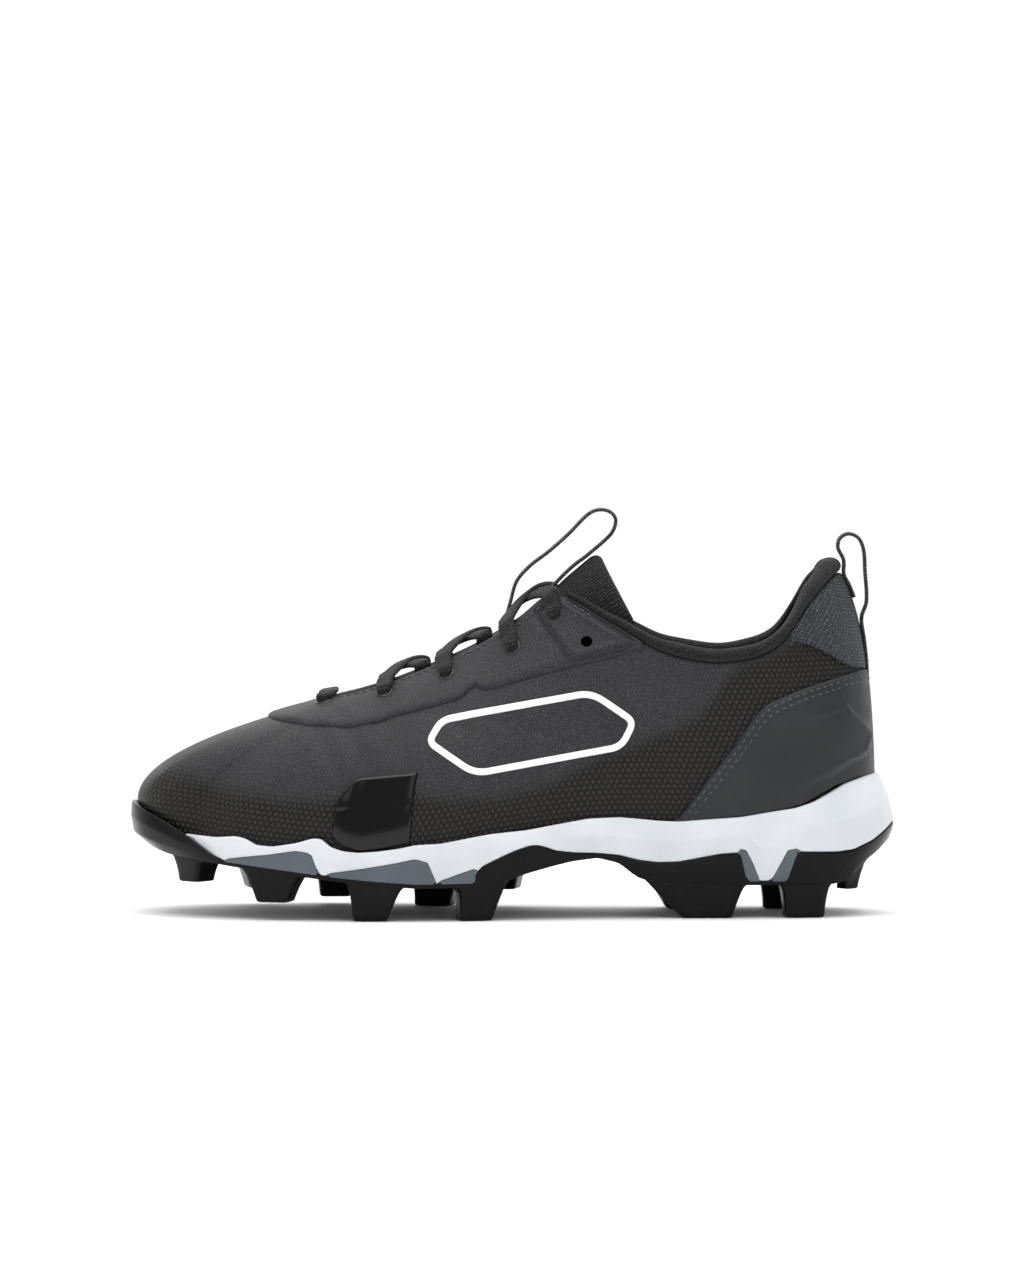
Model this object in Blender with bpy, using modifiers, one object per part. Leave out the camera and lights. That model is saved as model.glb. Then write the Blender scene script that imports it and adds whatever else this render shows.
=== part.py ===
"""Baseball cleat with moulded lugs, for the left foot.

The toe points along +X and the outer side of the foot along +Y. The origin is on the floor
under the middle of the shoe. Sizes are in metres.
"""
from collections import namedtuple
import math

import bmesh
import bpy
import numpy as np
from mathutils import Vector
from mathutils.bvhtree import BVHTree

MM = 0.001

# Driving sizes
LENGTH = 250 * MM
BALL_WIDTH = 93 * MM
HEEL_WIDTH = 65 * MM
SOLE_HEIGHT = 40 * MM
SOLE_TAPER = 6 * MM
UPPER_HEIGHT = 100 * MM
COLLAR_WIDTH = 54 * MM
CLEARANCE = 0.3 * MM
SEAT_GAP = 0.5 * MM
OVERLAY_GAP = 0.4 * MM

# Walls and thin pieces
PLATE = 1.3 * MM
RUBBER_LIP = 1.3 * MM
FOAM_LIP = 2.2 * MM
FOAM_TOE_LIP = 1.0 * MM
WALL = 2.0 * MM
COLLAR_WALL = 4.0 * MM
OVERLAY = 1.0 * MM
PATCH = 0.8 * MM
INSOLE = 3.5 * MM
TONGUE = 4.5 * MM
TONGUE_EDGE = 2.4 * MM
ROLL_WIDTH = 5.0 * MM
ROLL_HEIGHT = 3.6 * MM

# Lugs, eyelets, laces and pull loops
LUG_DEPTH = 13 * MM
LUG_SECTIONS = 6
LUG_DRAFT = 1.6 * MM
LUG_ROOT = 0.4 * MM
REAR_ROOT = 2.6 * MM
EYELET = 4.0 * MM
LACE_WIDTH = 5.6 * MM
LACE_THICK = 1.4 * MM
LACE_ARCH = 1.6 * MM
LACE_LIFT = 2.8 * MM
LACE_RISE = 2.4 * MM
LACE_INSET = 2.6 * MM
LACE_END = 0.60
TAPE_WIDTH = 8.0 * MM
TAPE_THICK = 1.2 * MM

# How finely the curved pieces are divided
UPPER_COLUMNS = 32
UPPER_ROWS = 8
COLLAR_SIDES = 6
SOLE_STEP = 10 * MM
INSOLE_STATIONS = 18
BOOLEAN_MARGIN = 4 * MM

# The sole's outline: rows from the toe tip to the heel, as shares of the length from the
# heel and of the width that the row follows
Outline = namedtuple("Outline", "along outer inner width")
OUTLINE = (
    Outline(1.000, -0.043, -0.043, BALL_WIDTH),
    Outline(0.989, 0.105, -0.195, BALL_WIDTH),
    Outline(0.958, 0.215, -0.315, BALL_WIDTH),
    Outline(0.912, 0.312, -0.400, BALL_WIDTH),
    Outline(0.856, 0.394, -0.458, BALL_WIDTH),
    Outline(0.792, 0.453, -0.491, BALL_WIDTH),
    Outline(0.720, 0.490, -0.500, BALL_WIDTH),
    Outline(0.648, 0.500, -0.477, BALL_WIDTH),
    Outline(0.576, 0.482, -0.424, BALL_WIDTH),
    Outline(0.496, 0.436, -0.358, BALL_WIDTH),
    Outline(0.416, 0.390, -0.316, BALL_WIDTH),
    Outline(0.336, 0.520, -0.440, HEEL_WIDTH),
    Outline(0.248, 0.507, -0.468, HEEL_WIDTH),
    Outline(0.160, 0.500, -0.485, HEEL_WIDTH),
    Outline(0.096, 0.462, -0.450, HEEL_WIDTH),
    Outline(0.044, 0.352, -0.346, HEEL_WIDTH),
    Outline(0.012, 0.190, -0.190, HEEL_WIDTH),
    Outline(0.000, 0.000, 0.000, HEEL_WIDTH),
)

# The sole's side: how far it tucks in below and leans in above, as shares of the taper, and
# the heights of its fullest line and of the footbed, as shares of the sole height
Side = namedtuple("Side", "along tuck fullest lean footbed")
SIDES = (
    Side(0.00, 0.33, 0.75, 0.83, 0.700),
    Side(0.05, 0.48, 0.71, 0.78, 0.690),
    Side(0.10, 0.57, 0.64, 0.50, 0.680),
    Side(0.24, 0.57, 0.62, 0.25, 0.675),
    Side(0.32, 0.42, 0.64, 0.20, 0.680),
    Side(0.40, 0.20, 0.65, 0.20, 0.670),
    Side(0.50, 0.20, 0.57, 0.18, 0.600),
    Side(0.60, 0.15, 0.43, 0.14, 0.490),
    Side(0.72, 0.15, 0.42, 0.13, 0.460),
    Side(0.82, 0.16, 0.50, 0.13, 0.510),
    Side(0.90, 0.33, 0.60, 0.12, 0.570),
    Side(0.95, 0.75, 0.69, 0.09, 0.620),
    Side(1.00, 1.00, 0.73, 0.07, 0.660),
)

# Edges along the sole's side, as shares of the length and of the sole height
Edge = namedtuple("Edge", "along height")
PLATE_EDGE = (
    Edge(0.000, 0.600), Edge(0.014, 0.525), Edge(0.028, 0.465), Edge(0.054, 0.305),
    Edge(0.076, 0.272), Edge(0.204, 0.270), Edge(0.310, 0.290), Edge(0.336, 0.335),
    Edge(0.360, 0.455), Edge(0.388, 0.500), Edge(0.420, 0.475), Edge(0.444, 0.440),
    Edge(0.480, 0.378), Edge(0.500, 0.335), Edge(0.526, 0.272), Edge(0.624, 0.268),
    Edge(0.690, 0.298), Edge(0.736, 0.330), Edge(0.780, 0.365), Edge(0.848, 0.417),
    Edge(0.890, 0.450), Edge(0.926, 0.470), Edge(0.965, 0.506), Edge(1.000, 0.563),
)
RUBBER_EDGE = (
    Edge(0.000, 0.758), Edge(0.014, 0.683), Edge(0.028, 0.620), Edge(0.054, 0.553),
    Edge(0.076, 0.538), Edge(0.130, 0.545), Edge(0.142, 0.305), Edge(0.195, 0.305),
    Edge(0.204, 0.540), Edge(0.230, 0.528), Edge(0.258, 0.495), Edge(0.284, 0.465),
    Edge(0.310, 0.460), Edge(0.336, 0.480), Edge(0.360, 0.520), Edge(0.388, 0.537),
    Edge(0.420, 0.545), Edge(0.444, 0.563), Edge(0.456, 0.593), Edge(0.468, 0.610),
    Edge(0.480, 0.600), Edge(0.500, 0.555), Edge(0.526, 0.480), Edge(0.543, 0.425),
    Edge(0.547, 0.310), Edge(0.624, 0.305), Edge(0.690, 0.335), Edge(0.736, 0.365),
    Edge(0.780, 0.400), Edge(0.848, 0.452), Edge(0.873, 0.470), Edge(0.890, 0.513),
    Edge(0.900, 0.563), Edge(0.926, 0.675), Edge(0.950, 0.763), Edge(0.984, 0.863),
    Edge(1.000, 0.918),
)
FOAM_EDGE = (
    Edge(0.000, 1.150), Edge(0.014, 1.142), Edge(0.054, 1.085), Edge(0.076, 1.025),
    Edge(0.105, 0.943), Edge(0.130, 0.897), Edge(0.165, 0.865), Edge(0.204, 0.825),
    Edge(0.258, 0.803), Edge(0.284, 0.790), Edge(0.310, 0.798), Edge(0.336, 0.815),
    Edge(0.360, 0.828), Edge(0.400, 0.818), Edge(0.444, 0.770), Edge(0.480, 0.730),
    Edge(0.526, 0.703), Edge(0.547, 0.680), Edge(0.591, 0.630), Edge(0.624, 0.620),
    Edge(0.645, 0.592), Edge(0.675, 0.567), Edge(0.700, 0.558), Edge(0.720, 0.570),
    Edge(0.736, 0.604), Edge(0.748, 0.670), Edge(0.760, 0.670), Edge(0.780, 0.632),
    Edge(0.812, 0.600), Edge(0.834, 0.610), Edge(0.848, 0.660), Edge(0.861, 0.678),
    Edge(0.890, 0.664), Edge(0.926, 0.678), Edge(0.960, 0.700), Edge(1.000, 0.735),
)
INSERTS = {
    "toe": (
        Edge(0.753, 0.430), Edge(0.760, 0.545), Edge(0.780, 0.565), Edge(0.812, 0.533),
        Edge(0.848, 0.508), Edge(0.873, 0.488),
    ),
    "ball": (
        Edge(0.601, 0.350), Edge(0.607, 0.470), Edge(0.624, 0.503), Edge(0.652, 0.468),
        Edge(0.690, 0.428), Edge(0.736, 0.388),
    ),
    "waist": (Edge(0.547, 0.425), Edge(0.568, 0.380), Edge(0.591, 0.330)),
    "heel_front": (Edge(0.179, 0.325), Edge(0.195, 0.550), Edge(0.204, 0.568)),
    "heel_rear": (Edge(0.130, 0.568), Edge(0.142, 0.555), Edge(0.161, 0.325)),
}
TRAY_BEND = 0.25
BUMPER_BEGINS = 0.870
BUMPER_COVERS = 0.900
BUMPER_CLOSES = 0.926
TOE_BEGINS = 0.930
TOE_COVERS = 0.960
TOE_SINK = 2.4 * MM
BUMPER_GAP = 1.0 * MM

# Lugs: where each starts and ends along its side, at the root and at the tip, the height of
# its tip over the floor and its share of the lug depth
Lug = namedtuple("Lug", "side root_rear root_front tip_rear tip_front tip depth")
OUTER, INNER = 1, -1
LUGS = (
    Lug(OUTER, 0.910, 0.959, 0.919, 0.953, 0.285, 1.00),
    Lug(OUTER, 0.776, 0.854, 0.794, 0.836, 0.145, 1.00),
    Lug(OUTER, 0.641, 0.714, 0.661, 0.707, 0.000, 1.00),
    Lug(OUTER, 0.503, 0.566, 0.522, 0.565, 0.000, 1.00),
    Lug(OUTER, 0.197, 0.326, 0.214, 0.279, 0.000, 1.00),
    Lug(OUTER, 0.078, 0.148, 0.084, 0.143, 0.000, 1.00),
    Lug(INNER, 0.917, 0.966, 0.926, 0.960, 0.285, 1.00),
    Lug(INNER, 0.800, 0.876, 0.818, 0.860, 0.145, 1.00),
    Lug(INNER, 0.690, 0.764, 0.712, 0.757, 0.068, 1.00),
    Lug(INNER, 0.553, 0.620, 0.570, 0.617, 0.000, 1.00),
    Lug(INNER, 0.475, 0.515, 0.485, 0.510, 0.150, 1.00),
    Lug(INNER, 0.210, 0.330, 0.230, 0.300, 0.000, 1.00),
    Lug(INNER, 0.082, 0.175, 0.094, 0.169, 0.000, 1.00),
    Lug(OUTER, 0.030, 0.060, 0.036, 0.055, 0.225, 0.45),
    Lug(INNER, 0.030, 0.060, 0.036, 0.055, 0.225, 0.45),
)

# The upper: columns from the toe to the heel. Each leaves the sole at "seat", meets the top
# line at (top, side, height), and its curve rises, bulges out, reaches out and drops.
Column = namedtuple("Column", "seat top side height rise out reach drop")
COLUMNS = (
    Column(1.000, 0.748, 0.000, 0.693, 0.120, 0.003, 0.380, 0.100),
    Column(0.972, 0.745, 0.083, 0.695, 0.125, 0.005, 0.360, 0.100),
    Column(0.924, 0.738, 0.154, 0.700, 0.140, 0.005, 0.320, 0.100),
    Column(0.860, 0.722, 0.200, 0.708, 0.160, 0.010, 0.270, 0.090),
    Column(0.792, 0.694, 0.226, 0.726, 0.180, 0.015, 0.230, 0.085),
    Column(0.712, 0.652, 0.237, 0.760, 0.200, 0.020, 0.200, 0.090),
    Column(0.632, 0.602, 0.241, 0.812, 0.220, 0.025, 0.180, 0.100),
    Column(0.552, 0.548, 0.245, 0.875, 0.240, 0.030, 0.160, 0.120),
    Column(0.476, 0.492, 0.260, 0.960, 0.260, 0.035, 0.140, 0.150),
    Column(0.412, 0.440, 0.315, 1.046, 0.270, 0.035, 0.100, 0.200),
    Column(0.344, 0.372, 0.417, 0.963, 0.240, 0.030, 0.060, 0.220),
    Column(0.272, 0.300, 0.491, 0.866, 0.200, 0.030, 0.030, 0.180),
    Column(0.200, 0.222, 0.509, 0.836, 0.180, 0.030, 0.010, 0.160),
    Column(0.128, 0.156, 0.472, 0.885, 0.180, 0.020, 0.010, 0.160),
    Column(0.060, 0.112, 0.333, 1.025, 0.190, 0.010, 0.050, 0.160),
    Column(0.018, 0.084, 0.167, 1.100, 0.200, -0.002, 0.080, 0.150),
    Column(0.000, 0.075, 0.000, 1.113, 0.200, -0.006, 0.090, 0.140),
)
TOP_CORNER = 9.0

# Edges of the overlays in side view, as shares of the length and of the upper height
EYESTAY_EDGE = (
    Edge(0.330, 0.879), Edge(0.370, 0.846), Edge(0.424, 0.815), Edge(0.478, 0.780),
    Edge(0.520, 0.747), Edge(0.540, 0.739), Edge(0.548, 0.757), Edge(0.567, 0.712),
    Edge(0.616, 0.679), Edge(0.648, 0.658), Edge(0.672, 0.637), Edge(0.710, 0.621),
    Edge(0.764, 0.624), Edge(0.804, 0.636), Edge(0.840, 0.650),
)
COUNTER_EDGE = (
    Edge(0.000, 0.812), Edge(0.048, 0.800), Edge(0.086, 0.773), Edge(0.124, 0.744),
    Edge(0.170, 0.696), Edge(0.185, 0.658), Edge(0.208, 0.573), Edge(0.238, 0.479),
    Edge(0.261, 0.402), Edge(0.290, 0.310),
)
TAB_EDGE = (
    Edge(0.000, 0.826), Edge(0.056, 0.826), Edge(0.070, 0.840), Edge(0.092, 0.874),
    Edge(0.115, 0.900), Edge(0.137, 0.915), Edge(0.160, 0.925),
)
PATCH_TOP_EDGE = (Edge(0.600, 0.485), Edge(0.700, 0.462), Edge(0.760, 0.300))
EYESTAY_ENDS = 10.6
COUNTER_ENDS = 11.1
TAB_ENDS = 13.3
COLLAR_BEGINS = 9.2
COLLAR_SLIM = 0.5
PATCH_FROM, PATCH_TO = 4.72, 6.02
SEAT_BAND = 0.050
OVERLAY_TOP = 0.985
RIM_REACH = 0.016

# Eyelets: their columns along the throat and how far they sit below its edge
Eyelet = namedtuple("Eyelet", "u setback")
EYELETS = (
    Eyelet(2.20, 4.0 * MM), Eyelet(4.80, 7.0 * MM), Eyelet(6.30, 8.0 * MM),
    Eyelet(7.80, 9.5 * MM), Eyelet(8.90, 7.0 * MM), Eyelet(9.50, 13.0 * MM),
)

# Tongue: rows from the front end to the top, with the height of its middle, its half width,
# how far its sides drop and how far back they sweep, as shares
Fold = namedtuple("Fold", "along height half drop sweep")
TONGUE_ROWS = (
    Fold(0.764, 0.630, 0.240, 0.045, 0.010),
    Fold(0.712, 0.690, 0.275, 0.060, 0.015),
    Fold(0.660, 0.728, 0.290, 0.075, 0.022),
    Fold(0.600, 0.790, 0.300, 0.095, 0.035),
    Fold(0.548, 0.855, 0.305, 0.120, 0.055),
    Fold(0.500, 0.930, 0.310, 0.150, 0.080),
    Fold(0.456, 1.030, 0.315, 0.185, 0.100),
    Fold(0.420, 1.120, 0.315, 0.215, 0.115),
    Fold(0.388, 1.180, 0.310, 0.225, 0.120),
)

# Pull loops: the free part of each in side view, as shares of the length and of the upper
# height. Their ends lie on the tongue and on the heel.
TONGUE_LOOP = (
    Edge(0.503, 1.010), Edge(0.494, 1.085), Edge(0.477, 1.135), Edge(0.452, 1.183), Edge(0.425, 1.243),
    Edge(0.407, 1.290), Edge(0.396, 1.312), Edge(0.384, 1.320), Edge(0.372, 1.313),
    Edge(0.365, 1.294), Edge(0.365, 1.268), Edge(0.372, 1.236),
)
TONGUE_LOOP_FRONT = (4.55, 4.75)
TONGUE_LOOP_REAR = (7.6, 7.2, 6.8, 6.4, 6.1)
HEEL_LOOP = (
    Edge(0.0360, 1.020), Edge(0.0380, 1.120), Edge(0.0400, 1.190), Edge(0.0470, 1.228),
    Edge(0.0600, 1.241), Edge(0.0710, 1.226), Edge(0.0735, 1.196), Edge(0.0660, 1.155),
)
HEEL_LOOP_OUTSIDE = (0.42, 0.52, 0.62, 0.72)
HEEL_LOOP_INSIDE = (0.97, 0.90, 0.83)

# Colours (linear RGB), roughness
FINISHES = {
    "rubber": ((0.010, 0.010, 0.011), 0.35),
    "foam": ((0.780, 0.800, 0.840), 0.55),
    "insert": ((0.150, 0.170, 0.190), 0.45),
    "upper": ((0.045, 0.045, 0.048), 0.75),
    "counter": ((0.040, 0.043, 0.048), 0.50),
    "patch": ((0.005, 0.005, 0.006), 0.12),
    "knit": ((0.010, 0.010, 0.011), 0.90),
    "woven": ((0.050, 0.053, 0.060), 0.85),
    "lining": ((0.020, 0.020, 0.022), 0.90),
}


def column_of(rows, name):
    """One named column of a table as an array."""
    return np.array([getattr(row, name) for row in rows], dtype=float)


def level(rows, at):
    """Height share of an edge at a share of the length."""
    along = column_of(rows, "along")
    height = column_of(rows, "height")
    order = np.argsort(along)
    return float(np.interp(at, along[order], height[order]))


def spline(knots, values, at):
    """Smooth curve through values at rising knots."""
    last = len(knots) - 1
    index = int(np.clip(np.searchsorted(knots, at, side="right") - 1, 0, last - 1))

    def slope(i):
        before, after = max(i - 1, 0), min(i + 1, last)
        return (values[after] - values[before]) / (knots[after] - knots[before])

    span = knots[index + 1] - knots[index]
    t = (at - knots[index]) / span
    start, end = values[index], values[index + 1]
    rise, fall = slope(index) * span, slope(index + 1) * span
    return ((2 * t**3 - 3 * t**2 + 1) * start + (t**3 - 2 * t**2 + t) * rise
            + (3 * t**2 - 2 * t**3) * end + (t**3 - t**2) * fall)


def mirrored_spline(values, at, odd=False):
    """Smooth curve over whole-numbered knots that continues mirrored past both ends."""
    sign = -1 if odd else 1
    head = 2 * values[0] * odd + sign * values[1]
    tail = 2 * values[-1] * odd + sign * values[-2]
    padded = np.concatenate(([head], values, [tail]))
    return spline(np.arange(-1, len(values) + 1), padded, at)


def side_value(name, along):
    """A column of the sole's side table at a share of the length."""
    return spline(column_of(SIDES, "along"), column_of(SIDES, name), along)


def dense_outline(per_span=24):
    """The sole's outline as closely spaced points, once round from the toe over the outer side."""
    outer = [(row.along * LENGTH, row.outer * row.width) for row in OUTLINE]
    inner = [(row.along * LENGTH, row.inner * row.width) for row in OUTLINE[-2:0:-1]]
    ring = np.array(outer + inner)
    count = len(ring)
    points = []
    for i in range(count):
        a, b, c, d = (ring[(i + k) % count] for k in (-1, 0, 1, 2))
        for t in np.arange(per_span) / per_span:
            points.append(0.5 * (2 * b + (c - a) * t + (2 * a - 5 * b + 4 * c - d) * t * t
                                 + (3 * b - a - 3 * c + d) * t**3))
    points = np.array(points)
    ahead = np.roll(points, -1, axis=0) - np.roll(points, 1, axis=0)
    normals = np.stack([ahead[:, 1], -ahead[:, 0]], axis=1)
    normals /= np.linalg.norm(normals, axis=1)[:, None]
    return points, normals, per_span * (len(OUTLINE) - 1)


OUTLINE_POINTS, OUTLINE_NORMALS, HEEL_INDEX = dense_outline()


def outline(side, along):
    """Point and outward direction on the outline, at a share of the length on one side."""
    if side == OUTER:
        index = np.arange(HEEL_INDEX, -1, -1)
    else:
        index = np.arange(HEEL_INDEX, len(OUTLINE_POINTS) + 1) % len(OUTLINE_POINTS)
    reach = np.maximum.accumulate(OUTLINE_POINTS[index, 0])
    at = np.clip(along, 0, 1) * LENGTH
    place = np.interp(at, reach, np.arange(len(index)))
    low = int(min(place, len(index) - 2))
    share = place - low
    first, second = index[low], index[low + 1]
    point = (1 - share) * OUTLINE_POINTS[first] + share * OUTLINE_POINTS[second]
    normal = (1 - share) * OUTLINE_NORMALS[first] + share * OUTLINE_NORMALS[second]
    return Vector(point), Vector(normal).normalized()


def edge_point(side, along, offset, height):
    """Point beside the outline, moved outward by offset and raised to height."""
    point, normal = outline(side, along)
    moved = point + normal * offset
    return Vector((moved.x - LENGTH / 2, moved.y, height))


def wall(along, height):
    """Outward offset of the sole's side at a height."""
    low = level(PLATE_EDGE, along) * SOLE_HEIGHT
    top = max(level(FOAM_EDGE, along), level(RUBBER_EDGE, along)) * SOLE_HEIGHT
    full = side_value("fullest", along) * SOLE_HEIGHT
    if height < full:
        below = min((full - height) / (full - low), 1.0)
        return -side_value("tuck", along) * SOLE_TAPER * below**2
    above = min((height - full) / (top - full), 1.0)
    return -side_value("lean", along) * SOLE_TAPER * above**1.5


def bumper_share(along):
    """Rises from 0 to 1 where the foam steps back behind the toe bumper."""
    return float(np.clip((along - BUMPER_BEGINS) / (BUMPER_COVERS - BUMPER_BEGINS), 0, 1))


def bumper_recess(along):
    """How far the foam's side stands back behind the toe bumper's outer face."""
    closed = float(np.clip((along - BUMPER_COVERS) / (BUMPER_CLOSES - BUMPER_COVERS), 0, 1))
    return (RUBBER_LIP + CLEARANCE) * bumper_share(along) + BUMPER_GAP * closed


def toe_share(along):
    """Rises from 0 to 1 where the bumper stands higher than the foam."""
    return float(np.clip((along - TOE_BEGINS) / (TOE_COVERS - TOE_BEGINS), 0, 1))


def foam_rim(along):
    """Height of the foam's upper edge, sunk where the bumper hides it."""
    return level(FOAM_EDGE, along) * SOLE_HEIGHT - TOE_SINK * toe_share(along)


def plate_top(along):
    """Height of the rubber plate's upper face."""
    low = level(PLATE_EDGE, along) * SOLE_HEIGHT
    rim = level(RUBBER_EDGE, along) * SOLE_HEIGHT
    return min(low + PLATE, rim - CLEARANCE / 3)


def insert_top(along):
    """Height of the top of the insert at this place, or None where there is no insert."""
    for rows in INSERTS.values():
        if rows[0].along <= along <= rows[-1].along:
            return level(rows, along) * SOLE_HEIGHT
    return None


def foam_step(along):
    """Height where the foam's side comes out over the rubber or an insert."""
    rubber = level(RUBBER_EDGE, along) * SOLE_HEIGHT
    covered = insert_top(along)
    step = (rubber if covered is None else max(covered, rubber)) + CLEARANCE
    return min(step, foam_rim(along) - 2 * CLEARANCE)


def foam_face(along, height):
    """Outward offset of the foam's own side, which lies behind the bumper at the toe."""
    return wall(along, height) - bumper_recess(along)


def foam_inside(along):
    """Outward offset of the inner face of the foam's rim."""
    top = foam_rim(along)
    return foam_face(along, top) - FOAM_LIP + (FOAM_LIP - FOAM_TOE_LIP) * bumper_share(along)


def sole_stations():
    """Shares of the length at which the sole has a column, the same on both sides."""
    wanted = {0.0, 0.003, 0.022, 0.974, 0.996, 1.0}
    must_keep = {row.along for rows in (RUBBER_EDGE, *INSERTS.values()) for row in rows}
    for rows in (PLATE_EDGE, FOAM_EDGE):
        wanted.update(row.along for row in rows)
    kept = []
    for along in sorted(wanted | must_keep):
        clear = min(abs(along - other) for other in must_keep)
        if along in (0.0, 0.003, 0.996, 1.0) or along in must_keep or clear > 0.010:
            kept.append(along)
    filled = [kept[0]]
    for along in kept[1:]:
        gap = along - filled[-1]
        pieces = math.ceil(gap * LENGTH / SOLE_STEP)
        filled += [filled[-1] + gap * k / pieces for k in range(1, pieces + 1)]
    return filled


STATIONS = sole_stations()


def material(name):
    """Principled material of one finish."""
    made = bpy.data.materials.get(name)
    if made is None:
        colour, roughness = FINISHES[name]
        made = bpy.data.materials.new(name)
        made.use_nodes = True
        shader = made.node_tree.nodes["Principled BSDF"]
        shader.inputs["Base Color"].default_value = (*colour, 1)
        shader.inputs["Roughness"].default_value = roughness
        shader.inputs["Metallic"].default_value = 0
    return made


def mesh_object(name, mesh, finish, collection):
    """Put a mesh in the scene as a named piece."""
    made = bpy.data.objects.new(name, mesh)
    mesh.materials.append(material(finish))
    collection.objects.link(made)
    return made


def mesh_from(name, points, faces):
    """Mesh from points and faces, with its faces turned outward."""
    mesh = bpy.data.meshes.new(name)
    mesh.from_pydata([tuple(p) for p in points], [], faces)
    work = bmesh.new()
    work.from_mesh(mesh)
    bmesh.ops.recalc_face_normals(work, faces=work.faces)
    work.to_mesh(mesh)
    work.free()
    mesh.shade_smooth()
    mesh.set_sharp_from_angle(angle=math.radians(40))
    return mesh


def loft(name, sections, finish, collection, closed=False):
    """Solid through rings of points, capped at its ends or closed on itself."""
    count = len(sections[0])
    points = [p for section in sections for p in section]
    faces = []
    spans = len(sections) if closed else len(sections) - 1
    for i in range(spans):
        a, b = i * count, (i + 1) % len(sections) * count
        for k in range(count):
            n = (k + 1) % count
            faces.append((a + k, a + n, b + n, b + k))
    if not closed:
        last = (len(sections) - 1) * count
        faces.append(tuple(range(count - 1, -1, -1)))
        faces.append(tuple(last + k for k in range(count)))
    return mesh_object(name, mesh_from(name, points, faces), finish, collection)


def core_point(side, along):
    """Point on the middle line that a column's inner ring is drawn towards."""
    held = min(max(along, 0.09), 0.90)
    outer, _ = outline(OUTER, held)
    inner, _ = outline(INNER, held)
    return Vector((held * LENGTH - LENGTH / 2, (outer.y + inner.y) / 2))


def rises_outward(first, second):
    """Whether a column climbs, or on the level runs outward, from one point to the next.

    Faces that lie against each other take their diagonals from this, so that they match.
    """
    if abs(second.z - first.z) > CLEARANCE / 30:
        return second.z > first.z
    return second.xy.length > first.xy.length


def ring_solid(name, profile, finish, collection, stations=STATIONS):
    """Solid whose rim follows the outline and whose faces close over the middle line.

    profile(side, along) gives a column's points from the underside round to the top side.
    """
    sides = [(OUTER, along) for along in reversed(stations)]
    sides += [(INNER, along) for along in stations[1:-1]]
    columns = []
    for side, along in sides:
        points = profile(side, along)
        core = core_point(side, along)
        inner_low, inner_top = points[0].copy(), points[-1].copy()
        for point in (inner_low, inner_top):
            point.x += (core.x - point.x) / 2
            point.y += (core.y - point.y) / 2
        columns.append([inner_low, *points, inner_top])
    total = len(columns)
    depth = len(columns[0])
    points = [p for column in columns for p in column]
    faces = []
    for i in range(total):
        a, b = i * depth, (i + 1) % total * depth
        for k in range(depth - 1):
            if rises_outward(points[a + k], points[a + k + 1]):
                faces += [(a + k, a + k + 1, b + k), (a + k + 1, b + k + 1, b + k)]
            else:
                faces += [(a + k, a + k + 1, b + k + 1), (a + k, b + k + 1, b + k)]
    half = total // 2
    for row in (0, depth - 1):
        middle = {}
        for i in range(1, half):
            middle[i] = len(points)
            points.append((columns[i][row] + columns[-i][row]) / 2)
        for i in range(1, half - 1):
            a, b = i * depth + row, (i + 1) * depth + row
            c, d = (total - i) * depth + row, (total - i - 1) * depth + row
            faces += [(a, b, middle[i + 1]), (a, middle[i + 1], middle[i]),
                      (middle[i], middle[i + 1], d), (middle[i], d, c)]
        toe, first, last = row, depth + row, (total - 1) * depth + row
        faces += [(toe, first, middle[1]), (toe, middle[1], last)]
        heel = half * depth + row
        before, after = (half - 1) * depth + row, (half + 1) * depth + row
        faces += [(heel, before, middle[half - 1]), (heel, middle[half - 1], after)]
    return mesh_object(name, mesh_from(name, points, faces), finish, collection)


def outsole_profile(side, along):
    """Rubber tray: underside edge, rounded side, rim and the tray's inside."""
    low = level(PLATE_EDGE, along) * SOLE_HEIGHT
    rim = level(RUBBER_EDGE, along) * SOLE_HEIGHT
    floor = plate_top(along)
    outside = [low + share * (rim - low) for share in (0.0, 0.3, 1.0)]
    inside = [rim, floor + TRAY_BEND * (rim - floor), floor]
    pairs = [(wall(along, height), height) for height in outside]
    pairs += [(wall(along, height) - RUBBER_LIP, height) for height in inside]
    return [edge_point(side, along, *pair) for pair in pairs]


def midsole_profile(side, along):
    """Foam cup: set back inside the rubber, out over it, up to its rim and down inside."""
    floor = plate_top(along)
    rubber = level(RUBBER_EDGE, along) * SOLE_HEIGHT
    step = foam_step(along)
    rim = foam_rim(along)
    bed = side_value("footbed", along) * SOLE_HEIGHT
    recess = max(RUBBER_LIP + CLEARANCE, bumper_recess(along))
    sliver = CLEARANCE / 6
    bend = min(floor + TRAY_BEND * (rubber - floor), step - 3 * sliver)
    under_lip = min(rubber, step - 2 * sliver)
    pairs = [
        (wall(along, floor) - recess, floor + CLEARANCE),
        (wall(along, bend) - recess, max(bend, floor + CLEARANCE + sliver)),
        (wall(along, under_lip) - recess, max(under_lip, floor + CLEARANCE + 2 * sliver)),
        (wall(along, step) - recess, max(step, floor + CLEARANCE + 3 * sliver)),
        (foam_face(along, step) + sliver, step + sliver),
        (foam_face(along, (step + rim) / 2), (step + rim) / 2),
        (foam_face(along, rim), rim),
        (foam_inside(along), rim),
        (foam_inside(along), bed),
    ]
    return [edge_point(side, along, *pair) for pair in pairs]


def under_plate(plate, point, depth=LUG_ROOT):
    """The point, raised or lowered to just inside the plate's underside."""
    hit, _, _, _ = plate.ray_cast(Vector((point.x, point.y, -LENGTH)), Vector((0, 0, 1)))
    return Vector((point.x, point.y, hit.z + depth))


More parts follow.
